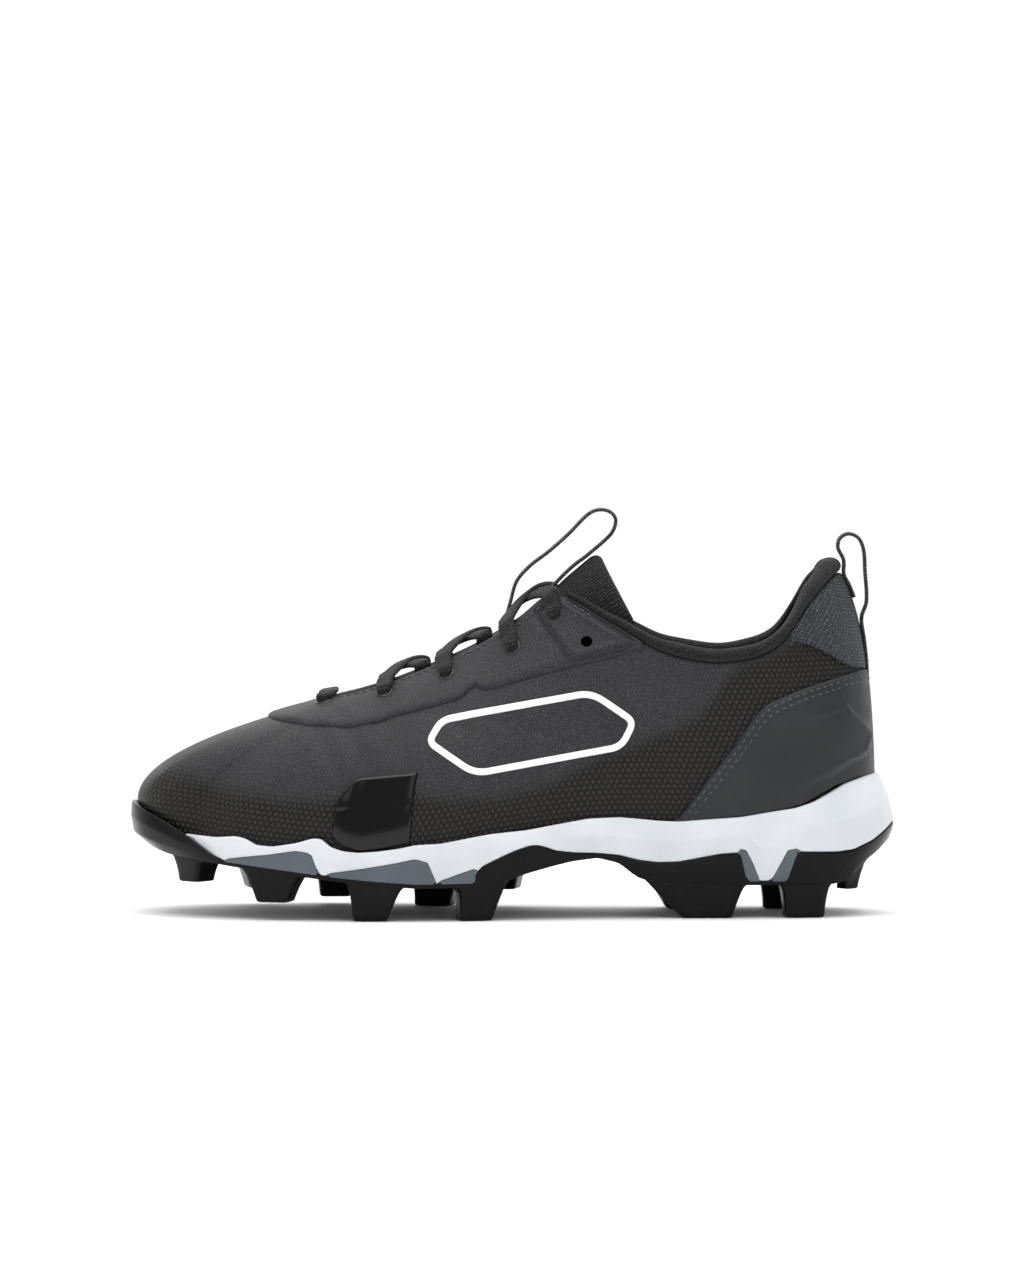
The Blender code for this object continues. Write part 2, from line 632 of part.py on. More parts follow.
def tray_space_profile(side, along):
    """Space over the tray's floor, inside its rim."""
    rim = level(RUBBER_EDGE, along) * SOLE_HEIGHT
    floor = plate_top(along)
    inside = wall(along, floor) - RUBBER_LIP
    return [edge_point(side, along, inside, floor + CLEARANCE / 6),
            edge_point(side, along, inside, rim + SOLE_HEIGHT)]


def lug_solid(name, side, lug, plate, collection):
    """Tapered block whose root follows the plate's underside."""
    sections = []
    depth = lug.depth * LUG_DEPTH
    sunk = LUG_ROOT if lug.depth == 1 else REAR_ROOT
    for share in np.linspace(0, 1, LUG_SECTIONS):
        root = lug.root_rear + share * (lug.root_front - lug.root_rear)
        tip = lug.tip_rear + share * (lug.tip_front - lug.tip_rear)
        root_low = level(PLATE_EDGE, root) * SOLE_HEIGHT
        tip_low = level(PLATE_EDGE, tip) * SOLE_HEIGHT
        outer_root, outer_tip = wall(root, root_low), wall(tip, tip_low) - LUG_DRAFT
        tip_height = lug.tip * SOLE_HEIGHT
        sections.append([
            edge_point(side, root, outer_root, root_low + LUG_ROOT),
            under_plate(plate, edge_point(side, root, outer_root - depth / 2, 0), sunk),
            under_plate(plate, edge_point(side, root, outer_root - depth, 0), sunk),
            edge_point(side, tip, outer_tip - depth + 2 * LUG_DRAFT, tip_height),
            edge_point(side, tip, outer_tip, tip_height),
        ])
    return loft(name, sections, "rubber", collection)


def add_boolean(target, tool, operation):
    """Cut with or add another solid, which is then only a guide."""
    cut = target.modifiers.new(tool.name, "BOOLEAN")
    cut.operation = operation
    cut.solver = "EXACT"
    cut.object = tool
    tool.hide_render = True
    tool.display_type = "WIRE"


def make_outsole(parts, guides):
    """Rubber outsole with its lugs."""
    outsole = ring_solid("outsole", outsole_profile, "rubber", parts)
    plate = BVHTree.FromPolygons([v.co for v in outsole.data.vertices],
                                 [tuple(f.vertices) for f in outsole.data.polygons])
    space = ring_solid("tray_space", tray_space_profile, "rubber", guides)
    for number, lug in enumerate(LUGS):
        block = lug_solid(f"lug_{number}", lug.side, lug, plate, guides)
        if lug.depth < 1:
            add_boolean(block, space, "DIFFERENCE")
        add_boolean(outsole, block, "UNION")
    return outsole


def make_inserts(parts):
    """Grey pieces between rubber and foam, on both sides."""
    for side, word in ((OUTER, "outer"), (INNER, "inner")):
        for name, rows in INSERTS.items():
            sections = []
            for along in [a for a in STATIONS if rows[0].along <= a <= rows[-1].along]:
                low = level(RUBBER_EDGE, along) * SOLE_HEIGHT + CLEARANCE
                top = level(rows, along) * SOLE_HEIGHT
                sections.append([
                    edge_point(side, along, wall(along, low), low),
                    edge_point(side, along, wall(along, top), top),
                    edge_point(side, along, wall(along, top) - RUBBER_LIP, top),
                    edge_point(side, along, wall(along, low) - RUBBER_LIP, low),
                ])
            loft(f"insert_{name}_{word}", sections, "insert", parts)


def upper_value(name, u, odd=False):
    """A column of the upper's table at a place u between its rows."""
    return float(mirrored_spline(column_of(COLUMNS, name), u, odd))


def seat_points(side, u):
    """Lower and upper ends of the upright strip that stands inside the sole's rim."""
    along = min(max(upper_value("seat", u), 0.0), 1.0)
    bed = side_value("footbed", along) * SOLE_HEIGHT + CLEARANCE
    near = [along + shift for shift in (-RIM_REACH, -RIM_REACH / 2, 0, RIM_REACH / 2, RIM_REACH)]
    top = max(max(level(FOAM_EDGE, a), level(RUBBER_EDGE, a)) for a in near) * SOLE_HEIGHT
    cover = toe_share(along)
    inside = foam_inside(along) - SEAT_GAP
    over_bumper = wall(along, top) - RUBBER_LIP - SEAT_GAP
    top_offset = inside + (over_bumper - inside) * cover
    low_point = edge_point(side, along, inside - cover * SEAT_GAP, bed)
    return low_point, edge_point(side, along, top_offset, top), outline(side, along)[1]


def column_curve(side, u):
    """Control points of the upper's curve from the sole's rim to the top line."""
    _, start, normal = seat_points(side, u)
    outward = Vector((normal.x, normal.y, 0))
    end = Vector((
        upper_value("top", u) * LENGTH - LENGTH / 2,
        side * upper_value("side", u, odd=True) * COLLAR_WIDTH,
        upper_value("height", u) * UPPER_HEIGHT,
    ))
    rise = upper_value("rise", u) * UPPER_HEIGHT
    out = upper_value("out", u) * UPPER_HEIGHT
    reach = upper_value("reach", u) * UPPER_HEIGHT
    drop = upper_value("drop", u) * UPPER_HEIGHT
    first = start + outward * out + Vector((0, 0, rise))
    second = end + outward * reach - Vector((0, 0, drop))
    return start, first, second, end


def curve_at(curve, w):
    """Point on a cubic curve."""
    a, b, c, d = curve
    return (a * (1 - w)**3 + b * (3 * w * (1 - w)**2) + c * (3 * w * w * (1 - w)) + d * w**3)


def surface_normal(side, u, w):
    """Outward direction of the upper's surface."""
    step = 0.02
    last = len(COLUMNS) - 1
    across = (curve_at(column_curve(side, min(u + step, last)), w)
              - curve_at(column_curve(side, max(u - step, 0)), w))
    if u in (0, last):
        across.x = across.z = 0.0
    curve = column_curve(side, u)
    along = curve_at(curve, min(w + step, 1.0)) - curve_at(curve, max(w - step, 0.0))
    return (across.cross(along) * side).normalized()


def surface(side, u, w, lift=0.0):
    """Point on the upper, lifted off it by a distance."""
    point = curve_at(column_curve(side, u), w)
    if lift:
        point = point + surface_normal(side, u, w) * lift
    return point


def crossing(side, u, edge):
    """Share of the column's height where it crosses an edge drawn in side view."""
    curve = column_curve(side, u)

    def over(w):
        point = curve_at(curve, w)
        return point.z - level(edge, (point.x + LENGTH / 2) / LENGTH) * UPPER_HEIGHT

    low, high = 0.0, 1.0
    if over(high) < 0:
        return 1.0
    if over(low) > 0:
        return 0.0
    for _ in range(30):
        middle = (low + high) / 2
        if over(middle) < 0:
            low = middle
        else:
            high = middle
    return (low + high) / 2


def open_sheet(name, rows, finish, collection, closed=False):
    """Open surface through rows of points, with its faces turned outward."""
    count = len(rows[0])
    points = [p for row in rows for p in row]
    faces = []
    spans = count if closed else count - 1
    for i in range(len(rows) - 1):
        for k in range(spans):
            n = (k + 1) % count
            a, b = i * count, (i + 1) * count
            faces.append((a + k, a + n, b + n, b + k))
    mesh = bpy.data.meshes.new(name)
    mesh.from_pydata([tuple(p) for p in points], [], faces)
    work = bmesh.new()
    work.from_mesh(mesh)
    bmesh.ops.remove_doubles(work, verts=work.verts, dist=CLEARANCE / 10)
    bmesh.ops.triangulate(work, faces=work.faces, quad_method="FIXED")
    work.to_mesh(mesh)
    work.free()
    mesh.shade_smooth()
    mesh.set_sharp_from_angle(angle=math.radians(40))
    return mesh_object(name, mesh, finish, collection)


def around(columns):
    """Places (side, u) once round the shoe from the toe over the outer side."""
    last = len(COLUMNS) - 1
    outer = [(OUTER, u) for u in np.linspace(0, last, columns + 1)]
    inner = [(INNER, u) for u in np.linspace(last, 0, columns + 1)[1:-1]]
    return outer + inner


def thicken(piece, thickness, outward, thin=None):
    """Give an open surface its wall."""
    wall_modifier = piece.modifiers.new("wall", "SOLIDIFY")
    wall_modifier.thickness = thickness
    wall_modifier.offset = 1 if outward else -1
    if thin is not None:
        wall_modifier.vertex_group = "wall"
        wall_modifier.thickness_vertex_group = thin / thickness
    return wall_modifier


def make_upper(parts):
    """Hollow upper with a thicker, padded collar."""
    places = around(UPPER_COLUMNS)
    levels = np.linspace(0, 1, UPPER_ROWS + 1)
    rows = [[seat_points(side, u)[0] for side, u in places]]
    rows += [[surface(side, u, w) for side, u in places] for w in levels]
    upper = open_sheet("upper", rows, "upper", parts, closed=True)
    group = upper.vertex_groups.new(name="wall")
    for r, w in enumerate([0.0, *levels]):
        for k, (_, u) in enumerate(places):
            collar = np.clip((u - TOP_CORNER) / 2, 0, 1) * np.clip((w - 0.45) / 0.4, 0, 1)
            group.add([r * len(places) + k], float(collar), "REPLACE")
    thicken(upper, COLLAR_WALL, outward=False, thin=WALL)
    return upper


def overlay(name, side_places, low, high, thickness, finish, parts):
    """Thin cover over part of the upper, on the upper's own grid between two levels."""
    rows = []
    for w in np.linspace(0, 1, UPPER_ROWS + 1):
        row = []
        for side, u in side_places:
            start, end = low(side, u), high(side, u)
            row.append(surface(side, u, min(max(w, start), end), OVERLAY_GAP))
        rows.append(row)
    cover = open_sheet(name, rows, finish, parts)
    thicken(cover, thickness, outward=True)
    return cover


def grid_places(start, end):
    """The upper's columns between two places, with the places themselves."""
    grid = np.linspace(0, len(COLUMNS) - 1, UPPER_COLUMNS + 1)
    step = grid[1]
    inside = [u for u in grid if start + 0.2 * step < u < end - 0.2 * step]
    return [start, *inside, end]


def span_over_toe(limit):
    """Places from the inner side over the toe to the outer side."""
    places = grid_places(0, limit)
    return [(INNER, u) for u in reversed(places)] + [(OUTER, u) for u in places[1:]]


def span_over_heel(limit):
    """Places from the outer side round the heel to the inner side."""
    places = grid_places(limit, len(COLUMNS) - 1)
    return [(OUTER, u) for u in places] + [(INNER, u) for u in reversed(places[:-1])]


def make_overlays(parts):
    """Eyestay, heel counter, heel tab and the gloss patch."""
    def top(side, u):
        return OVERLAY_TOP

    def seat(side, u):
        return SEAT_BAND

    def above(edge):
        return lambda side, u: min(crossing(side, u, edge), OVERLAY_TOP - SEAT_BAND)

    def below(edge):
        return lambda side, u: max(crossing(side, u, edge), 2 * SEAT_BAND)

    overlay("eyestay", span_over_toe(EYESTAY_ENDS), above(EYESTAY_EDGE), top,
            OVERLAY, "upper", parts)
    overlay("heel_counter", span_over_heel(COUNTER_ENDS), seat, below(COUNTER_EDGE),
            OVERLAY, "counter", parts)
    overlay("heel_tab", span_over_heel(TAB_ENDS), above(TAB_EDGE), top,
            OVERLAY, "woven", parts)
    overlay("side_patch", [(OUTER, u) for u in grid_places(PATCH_FROM, PATCH_TO)],
            seat, below(PATCH_TOP_EDGE), PATCH, "patch", parts)


def make_collar(parts):
    """Knit roll along the top line of the collar, slimmer towards its front ends."""
    sections = []
    for side, u in span_over_heel(COLLAR_BEGINS):
        top = surface(side, u, 1.0)
        _, normal = outline(side, min(max(upper_value("seat", u), 0), 1))
        outward = Vector((normal.x, normal.y, 0))
        slim = COLLAR_SLIM + (1 - COLLAR_SLIM) * min((u - COLLAR_BEGINS) / 2, 1)
        wide, high = ROLL_WIDTH * slim / 2, ROLL_HEIGHT * slim / 2
        middle = top - outward * (wide - OVERLAY * slim)
        middle.z += CLEARANCE + high
        sections.append([
            middle + outward * math.cos(turn) * wide + Vector((0, 0, math.sin(turn) * high))
            for turn in (2 * math.pi * (k + 0.5) / COLLAR_SIDES for k in range(COLLAR_SIDES))
        ])
    return loft("collar", sections, "knit", parts)


def make_insole(parts):
    """Flat sock liner on the footbed."""
    def profile(side, along):
        bed = side_value("footbed", along) * SOLE_HEIGHT + CLEARANCE
        edge = foam_inside(along) - SEAT_GAP - WALL - 2 * SEAT_GAP
        pairs = ((edge, bed), (edge, bed + INSOLE))
        return [edge_point(side, along, *pair) for pair in pairs]

    stations = [(1 - math.cos(math.pi * k / INSOLE_STATIONS)) / 2
                for k in range(INSOLE_STATIONS + 1)]
    return ring_solid("insole", profile, "lining", parts, stations)


def tongue_point(v, h, sink=0.0):
    """Point on the tongue: v from its front end to its top, h from side to side."""
    knots = np.arange(len(TONGUE_ROWS))
    value = {name: spline(knots, column_of(TONGUE_ROWS, name), v)
             for name in Fold._fields}
    turn = h * math.pi / 2
    fall = 1 - math.cos(turn)
    return Vector((
        (value["along"] - 0.5) * LENGTH - value["sweep"] * UPPER_HEIGHT * fall,
        math.sin(turn) * value["half"] * COLLAR_WIDTH,
        value["height"] * UPPER_HEIGHT - value["drop"] * UPPER_HEIGHT * fall - sink,
    ))


def make_tongue(parts):
    """Padded tongue, arched over the instep."""
    sections = []
    across = np.linspace(-1, 1, 9)
    for v in np.linspace(0, len(TONGUE_ROWS) - 1, 13):
        ring = []
        for h in across:
            ring.append(tongue_point(v, h))
        for h in reversed(across):
            point = tongue_point(v, h)
            ahead = tongue_point(min(v + 0.1, len(TONGUE_ROWS) - 1), h)
            behind = tongue_point(max(v - 0.1, 0), h)
            sideways = tongue_point(v, min(h + 0.02, 1)) - tongue_point(v, max(h - 0.02, -1))
            inward = sideways.cross(ahead - behind).normalized()
            thick = TONGUE_EDGE + (TONGUE - TONGUE_EDGE) * (1 - h * h)
            ring.append(point + inward * thick * (1 if inward.z < 0 else -1))
        sections.append(ring)
    return loft("tongue", sections, "knit", parts)


def flat_strap(name, route, lie, size, finish, collection, per_span=1):
    """Flat strap along a smooth route; its width lies along the direction "lie"."""
    width, thickness = size
    steps = [0.0] + [(b - a).length for a, b in zip(route, route[1:])]
    knots = np.cumsum(steps)
    places = np.interp(np.linspace(0, len(route) - 1, per_span * (len(route) - 1) + 1),
                       np.arange(len(route)), knots)
    path = [Vector([spline(knots, [p[axis] for p in route], t) for axis in range(3)])
            for t in places]
    sections = []
    for i, point in enumerate(path):
        ahead = (path[min(i + 1, len(path) - 1)] - path[max(i - 1, 0)]).normalized()
        across = (lie - ahead * lie.dot(ahead)).normalized()
        thick = across.cross(ahead).normalized() * thickness / 2
        across = across * width / 2
        sections.append([point + across + thick, point - across + thick,
                         point - across - thick, point + across - thick])
    return loft(name, sections, finish, collection)


def side_view(row):
    """Point in the shoe's middle plane."""
    return Vector(((row.along - 0.5) * LENGTH, 0, row.height * UPPER_HEIGHT))


def on_tongue(v):
    """Point just over the middle of the tongue."""
    ahead = tongue_point(v + 0.1, 0) - tongue_point(v - 0.1, 0)
    up = Vector((-ahead.z, 0, ahead.x)).normalized()
    return tongue_point(v, 0) + up * (1 if up.z > 0 else -1) * (2 * CLEARANCE + TAPE_THICK / 2)


def on_heel(w, tapes):
    """Point behind the middle of the heel, over its overlays and a number of tapes."""
    lift = OVERLAY_GAP + OVERLAY + 2 * CLEARANCE + (tapes + 0.5) * TAPE_THICK
    return surface(OUTER, len(COLUMNS) - 1, w, lift)


def make_loops(parts):
    """Pull loops of the tongue and of the heel."""
    route = [on_tongue(v) for v in TONGUE_LOOP_FRONT]
    route += [side_view(row) for row in TONGUE_LOOP]
    route += [on_tongue(v) for v in TONGUE_LOOP_REAR]
    level_across, size = Vector((0, 1, 0)), (TAPE_WIDTH, TAPE_THICK)
    flat_strap("tongue_loop", route, level_across, size, "knit", parts)
    route = [on_heel(w, 1.4) for w in HEEL_LOOP_OUTSIDE]
    route += [side_view(row) for row in HEEL_LOOP]
    route += [on_heel(w, 0) for w in HEEL_LOOP_INSIDE]
    flat_strap("heel_loop", route, level_across, size, "woven", parts)


def eyelet_place(side, eyelet, share=1.0):
    """Share of the column's height at an eyelet, or part of the way to it from the edge."""
    curve = column_curve(side, eyelet.u)
    w = 1.0
    run = 0.0
    while run < eyelet.setback * share:
        run += (curve_at(curve, w) - curve_at(curve, w - 0.005)).length
        w -= 0.005
    return w


def cut_eyelets(pieces, guides):
    """Round lace holes through the eyestay and the wall under it."""
    for number, eyelet in enumerate(EYELETS):
        for side, word in ((OUTER, "outer"), (INNER, "inner")):
            w = eyelet_place(side, eyelet)
            middle = surface(side, eyelet.u, w)
            normal = surface_normal(side, eyelet.u, w)
            bpy.ops.mesh.primitive_cylinder_add(
                vertices=8, radius=EYELET / 2, depth=4 * BOOLEAN_MARGIN, location=middle)
            hole = bpy.context.object
            hole.name = f"eyelet_hole_{number}_{word}"
            hole.rotation_euler = normal.to_track_quat("Z", "Y").to_euler()
            for owner in list(hole.users_collection):
                owner.objects.unlink(hole)
            guides.objects.link(hole)
            for piece in pieces:
                add_boolean(piece, hole, "DIFFERENCE")


def over_eyelet(side, eyelet, share):
    """Point of a lace over the eyestay, part of the way from the throat's edge to an eyelet."""
    w = eyelet_place(side, eyelet, share)
    return surface(side, eyelet.u, w, LACE_LIFT)


def in_throat(side, u):
    """Point of a lace where it goes down inside the throat's edge."""
    edge = surface(side, u, 1.0)
    return edge + Vector((0, -side * LACE_INSET, LACE_RISE))


def throat_slope(u):
    """Direction of the throat in side view, which a lace's width follows."""
    run = surface(OUTER, u - 0.3, 1.0) - surface(OUTER, u + 0.3, 1.0)
    return Vector((run.x, 0, run.z)).normalized()


def make_laces(parts, guides):
    """A bar at the front eyelets and crossings from each pair to the next."""
    size = (LACE_WIDTH, LACE_THICK)
    front = EYELETS[0]
    ends = {side: [over_eyelet(side, front, share) for share in (0.7, 0.0)]
            for side in (OUTER, INNER)}
    flat_strap("lace_bar", ends[OUTER] + ends[INNER][::-1], throat_slope(front.u), size,
               "knit", parts, per_span=2)
    for number, (lower, higher) in enumerate(zip(EYELETS[1:4], EYELETS[2:5])):
        last = higher is EYELETS[4]
        between = lower.u + LACE_END * (higher.u - lower.u)
        straps = []
        for side in (OUTER, INNER):
            start = [over_eyelet(side, lower, share) for share in (0.8, 0.0)]
            if last:
                end = [over_eyelet(-side, higher, share) for share in (0.0, 0.7)]
            else:
                end = [in_throat(-side, between)]
            middle = (start[1] + end[0]) / 2 + Vector((0, 0, LACE_ARCH * (2 if last else 1)))
            word = "cross" if side == OUTER else "over"
            straps.append(flat_strap(
                f"lace_{word}_{number + 1}", [*start, middle, *end],
                throat_slope((lower.u + between) / 2), size, "knit",
                parts if side == OUTER else guides, per_span=2))
        add_boolean(straps[0], straps[1], "UNION")


def new_collection(name):
    """Collection linked to the scene."""
    made = bpy.data.collections.new(name)
    bpy.context.scene.collection.children.link(made)
    return made


def main():
    for item in list(bpy.data.objects):
        bpy.data.objects.remove(item, do_unlink=True)
    parts = new_collection("baseball_cleat")
    guides = new_collection("guides")
    make_outsole(parts, guides)
    ring_solid("midsole", midsole_profile, "foam", parts)
    make_inserts(parts)
    upper = make_upper(parts)
    make_overlays(parts)
    cut_eyelets([upper, parts.objects["eyestay"]], guides)
    make_collar(parts)
    make_insole(parts)
    make_tongue(parts)
    make_loops(parts)
    make_laces(parts, guides)


main()
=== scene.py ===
"""Youth baseball cleat for the left foot, dressed over its solids.

The toe points along +X, the outer side of the foot along +Y, and the lug tips stand on
z = 0. Lengths are in metres unless a name says otherwise. The tables hold shares of the
named sizes, and every piece takes its place from the same form.
"""
from __future__ import annotations

import logging
import math
from dataclasses import dataclass, field
from enum import IntEnum
from typing import Callable, Iterator, NamedTuple, Optional, Sequence

import bmesh
import bpy
import numpy as np
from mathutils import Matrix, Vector


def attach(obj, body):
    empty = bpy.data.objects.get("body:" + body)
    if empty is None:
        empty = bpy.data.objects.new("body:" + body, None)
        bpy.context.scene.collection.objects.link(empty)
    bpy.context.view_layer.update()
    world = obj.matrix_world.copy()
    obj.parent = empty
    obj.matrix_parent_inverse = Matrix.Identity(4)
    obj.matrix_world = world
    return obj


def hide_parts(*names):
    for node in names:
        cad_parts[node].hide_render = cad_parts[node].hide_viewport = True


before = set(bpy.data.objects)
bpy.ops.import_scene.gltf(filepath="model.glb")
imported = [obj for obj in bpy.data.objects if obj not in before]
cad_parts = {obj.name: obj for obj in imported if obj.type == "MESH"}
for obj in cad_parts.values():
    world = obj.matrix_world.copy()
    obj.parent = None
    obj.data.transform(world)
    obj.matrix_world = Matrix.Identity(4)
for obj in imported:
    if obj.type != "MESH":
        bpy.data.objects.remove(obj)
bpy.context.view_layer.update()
LOG = logging.getLogger("cleat")

MM = 0.001
LENGTH = 250 * MM
BALL_WIDTH = 93 * MM
HEEL_WIDTH = 65 * MM
SOLE_HEIGHT = 40 * MM
SOLE_TAPER = 6 * MM
UPPER_HEIGHT = 100 * MM
COLLAR_WIDTH = 54 * MM
CLEARANCE = 0.3 * MM
SEAT_GAP = 0.5 * MM
PLATE = 1.3 * MM
RUBBER_LIP = 1.3 * MM
FOAM_LIP = 2.2 * MM
FOAM_TOE_LIP = 1.0 * MM
LUG_DEPTH = 13 * MM
LUG_DRAFT = 1.6 * MM
WALL = 2.0 * MM
COLLAR_WALL = 4.0 * MM
TAB_LIFT = 1.2 * MM
LENGTH_MM = LENGTH / MM
WELD = 1e-6
UPWARD = np.array([0.0, 0.0, 1.0])
SIDEWAYS = np.array([0.0, 1.0, 0.0])

Profile = Callable[[np.ndarray], tuple[np.ndarray, np.ndarray]]
Relief = Callable[[np.ndarray], np.ndarray]


class Flank(IntEnum):
    """Side of the foot."""

    OUTER = 1
    INNER = -1


OUTER, INNER = Flank.OUTER, Flank.INNER


class Outline(NamedTuple):
    """Row of the sole's outline, as shares of the length and of a width."""

    along: float
    outer: float
    inner: float
    width: float


class Side(NamedTuple):
    """How far the sole's side tucks in and leans, and where its fullest line and bed lie."""

    along: float
    tuck: float
    fullest: float
    lean: float
    footbed: float


class Edge(NamedTuple):
    """Point of an edge in side view, as shares of the length and of a height."""

    along: float
    height: float


class Lug(NamedTuple):
    """Where a lug starts and ends at its root and tip, its tip's height and its depth."""

    side: Flank
    root_rear: float
    root_front: float
    tip_rear: float
    tip_front: float
    tip: float
    depth: float


class Column(NamedTuple):
    """Curve of the upper from the sole to the top line."""

    seat: float
    top: float
    side: float
    height: float
    rise: float
    out: float
    reach: float
    drop: float


class Eyelet(NamedTuple):
    """Place of an eyelet along the throat and its distance from the edge."""

    u: float
    setback: float


class Fold(NamedTuple):
    """Row of the tongue from its front end to its top."""

    along: float
    height: float
    half: float
    drop: float
    sweep: float


class Crease(NamedTuple):
    """Soft trough (depth below 0) or ridge on the upper, placed in side view."""

    along: float
    height: float
    tilt_deg: float
    reach_mm: float
    width_mm: float
    depth_mm: float
    flank: int


def table(kind: type, *rows: Sequence[float]) -> tuple:
    """Rows of one kind."""
    return tuple(kind(*row) for row in rows)


# The sole's outline: rows from the toe tip to the heel, as shares of the length from the
# heel and of the width that the row follows
OUTLINE = table(
    Outline,
    (1.000, -0.043, -0.043, BALL_WIDTH),
    (0.989, 0.105, -0.195, BALL_WIDTH),
    (0.958, 0.215, -0.315, BALL_WIDTH),
    (0.912, 0.312, -0.400, BALL_WIDTH),
    (0.856, 0.394, -0.458, BALL_WIDTH),
    (0.792, 0.453, -0.491, BALL_WIDTH),
    (0.720, 0.490, -0.500, BALL_WIDTH),
    (0.648, 0.500, -0.477, BALL_WIDTH),
    (0.576, 0.482, -0.424, BALL_WIDTH),
    (0.496, 0.436, -0.358, BALL_WIDTH),
    (0.416, 0.390, -0.316, BALL_WIDTH),
    (0.336, 0.520, -0.440, HEEL_WIDTH),
    (0.248, 0.507, -0.468, HEEL_WIDTH),
    (0.160, 0.500, -0.485, HEEL_WIDTH),
    (0.096, 0.462, -0.450, HEEL_WIDTH),
    (0.044, 0.352, -0.346, HEEL_WIDTH),
    (0.012, 0.190, -0.190, HEEL_WIDTH),
    (0.000, 0.000, 0.000, HEEL_WIDTH),
)

# The sole's side: how far it tucks in below and leans in above, as shares of the taper, and
# the heights of its fullest line and of the footbed, as shares of the sole height
SIDES = table(
    Side,
    (0.00, 0.33, 0.75, 0.83, 0.700),
    (0.05, 0.48, 0.71, 0.78, 0.690),
    (0.10, 0.57, 0.64, 0.50, 0.680),
    (0.24, 0.57, 0.62, 0.25, 0.675),
    (0.32, 0.42, 0.64, 0.20, 0.680),
    (0.40, 0.20, 0.65, 0.20, 0.670),
    (0.50, 0.20, 0.57, 0.18, 0.600),
    (0.60, 0.15, 0.43, 0.14, 0.490),
    (0.72, 0.15, 0.42, 0.13, 0.460),
    (0.82, 0.16, 0.50, 0.13, 0.510),
    (0.90, 0.33, 0.60, 0.12, 0.570),
    (0.95, 0.75, 0.69, 0.09, 0.620),
    (1.00, 1.00, 0.73, 0.07, 0.660),
)

# Edges along the sole's side, as shares of the length and of the sole height
PLATE_EDGE = table(
    Edge,
    (0.000, 0.600), (0.014, 0.525), (0.028, 0.465), (0.054, 0.305), (0.076, 0.272), (0.204, 0.270),
    (0.310, 0.290), (0.336, 0.335), (0.360, 0.455), (0.388, 0.500), (0.420, 0.475), (0.444, 0.440),
    (0.480, 0.378), (0.500, 0.335), (0.526, 0.272), (0.624, 0.268), (0.690, 0.298), (0.736, 0.330),
    (0.780, 0.365), (0.848, 0.417), (0.890, 0.450), (0.926, 0.470), (0.965, 0.506), (1.000, 0.563),
)
RUBBER_EDGE = table(
    Edge,
    (0.000, 0.758), (0.014, 0.683), (0.028, 0.620), (0.054, 0.553), (0.076, 0.538), (0.130, 0.545),
    (0.142, 0.305), (0.195, 0.305), (0.204, 0.540), (0.230, 0.528), (0.258, 0.495), (0.284, 0.465),
    (0.310, 0.460), (0.336, 0.480), (0.360, 0.520), (0.388, 0.537), (0.420, 0.545), (0.444, 0.563),
    (0.456, 0.593), (0.468, 0.610), (0.480, 0.600), (0.500, 0.555), (0.526, 0.480), (0.543, 0.425),
    (0.547, 0.310), (0.624, 0.305), (0.690, 0.335), (0.736, 0.365), (0.780, 0.400), (0.848, 0.452),
    (0.873, 0.470), (0.890, 0.513), (0.900, 0.563), (0.926, 0.675), (0.950, 0.763), (0.984, 0.863),
    (1.000, 0.918),
)
FOAM_EDGE = table(
    Edge,
    (0.000, 1.150), (0.014, 1.142), (0.054, 1.085), (0.076, 1.025), (0.105, 0.943), (0.130, 0.897),
    (0.165, 0.865), (0.204, 0.825), (0.258, 0.803), (0.284, 0.790), (0.310, 0.798), (0.336, 0.815),
    (0.360, 0.828), (0.400, 0.818), (0.444, 0.770), (0.480, 0.730), (0.526, 0.703), (0.547, 0.680),
    (0.591, 0.630), (0.624, 0.620), (0.645, 0.592), (0.675, 0.567), (0.700, 0.558), (0.720, 0.570),
    (0.736, 0.604), (0.748, 0.670), (0.760, 0.670), (0.780, 0.632), (0.812, 0.600), (0.834, 0.610),
    (0.848, 0.660), (0.861, 0.678), (0.890, 0.664), (0.926, 0.678), (0.960, 0.700), (1.000, 0.735),
)
INSERTS = {
    "toe": table(
        Edge,
        (0.753, 0.430), (0.760, 0.545), (0.780, 0.565), (0.812, 0.533), (0.848, 0.508),
        (0.873, 0.488),
    ),
    "ball": table(
        Edge,
        (0.601, 0.350), (0.607, 0.470), (0.624, 0.503), (0.652, 0.468), (0.690, 0.428),
        (0.736, 0.388),
    ),
    "waist": table(Edge, (0.547, 0.425), (0.568, 0.380), (0.591, 0.330)),
    "heel_front": table(Edge, (0.179, 0.325), (0.195, 0.550), (0.204, 0.568)),
    "heel_rear": table(Edge, (0.130, 0.568), (0.142, 0.555), (0.161, 0.325)),
}
TRAY_BEND = 0.25
BUMPER_BEGINS = 0.870
BUMPER_COVERS = 0.900
BUMPER_CLOSES = 0.926
TOE_BEGINS = 0.930
TOE_COVERS = 0.960
TOE_SINK = 2.4 * MM
BUMPER_GAP = 1.0 * MM

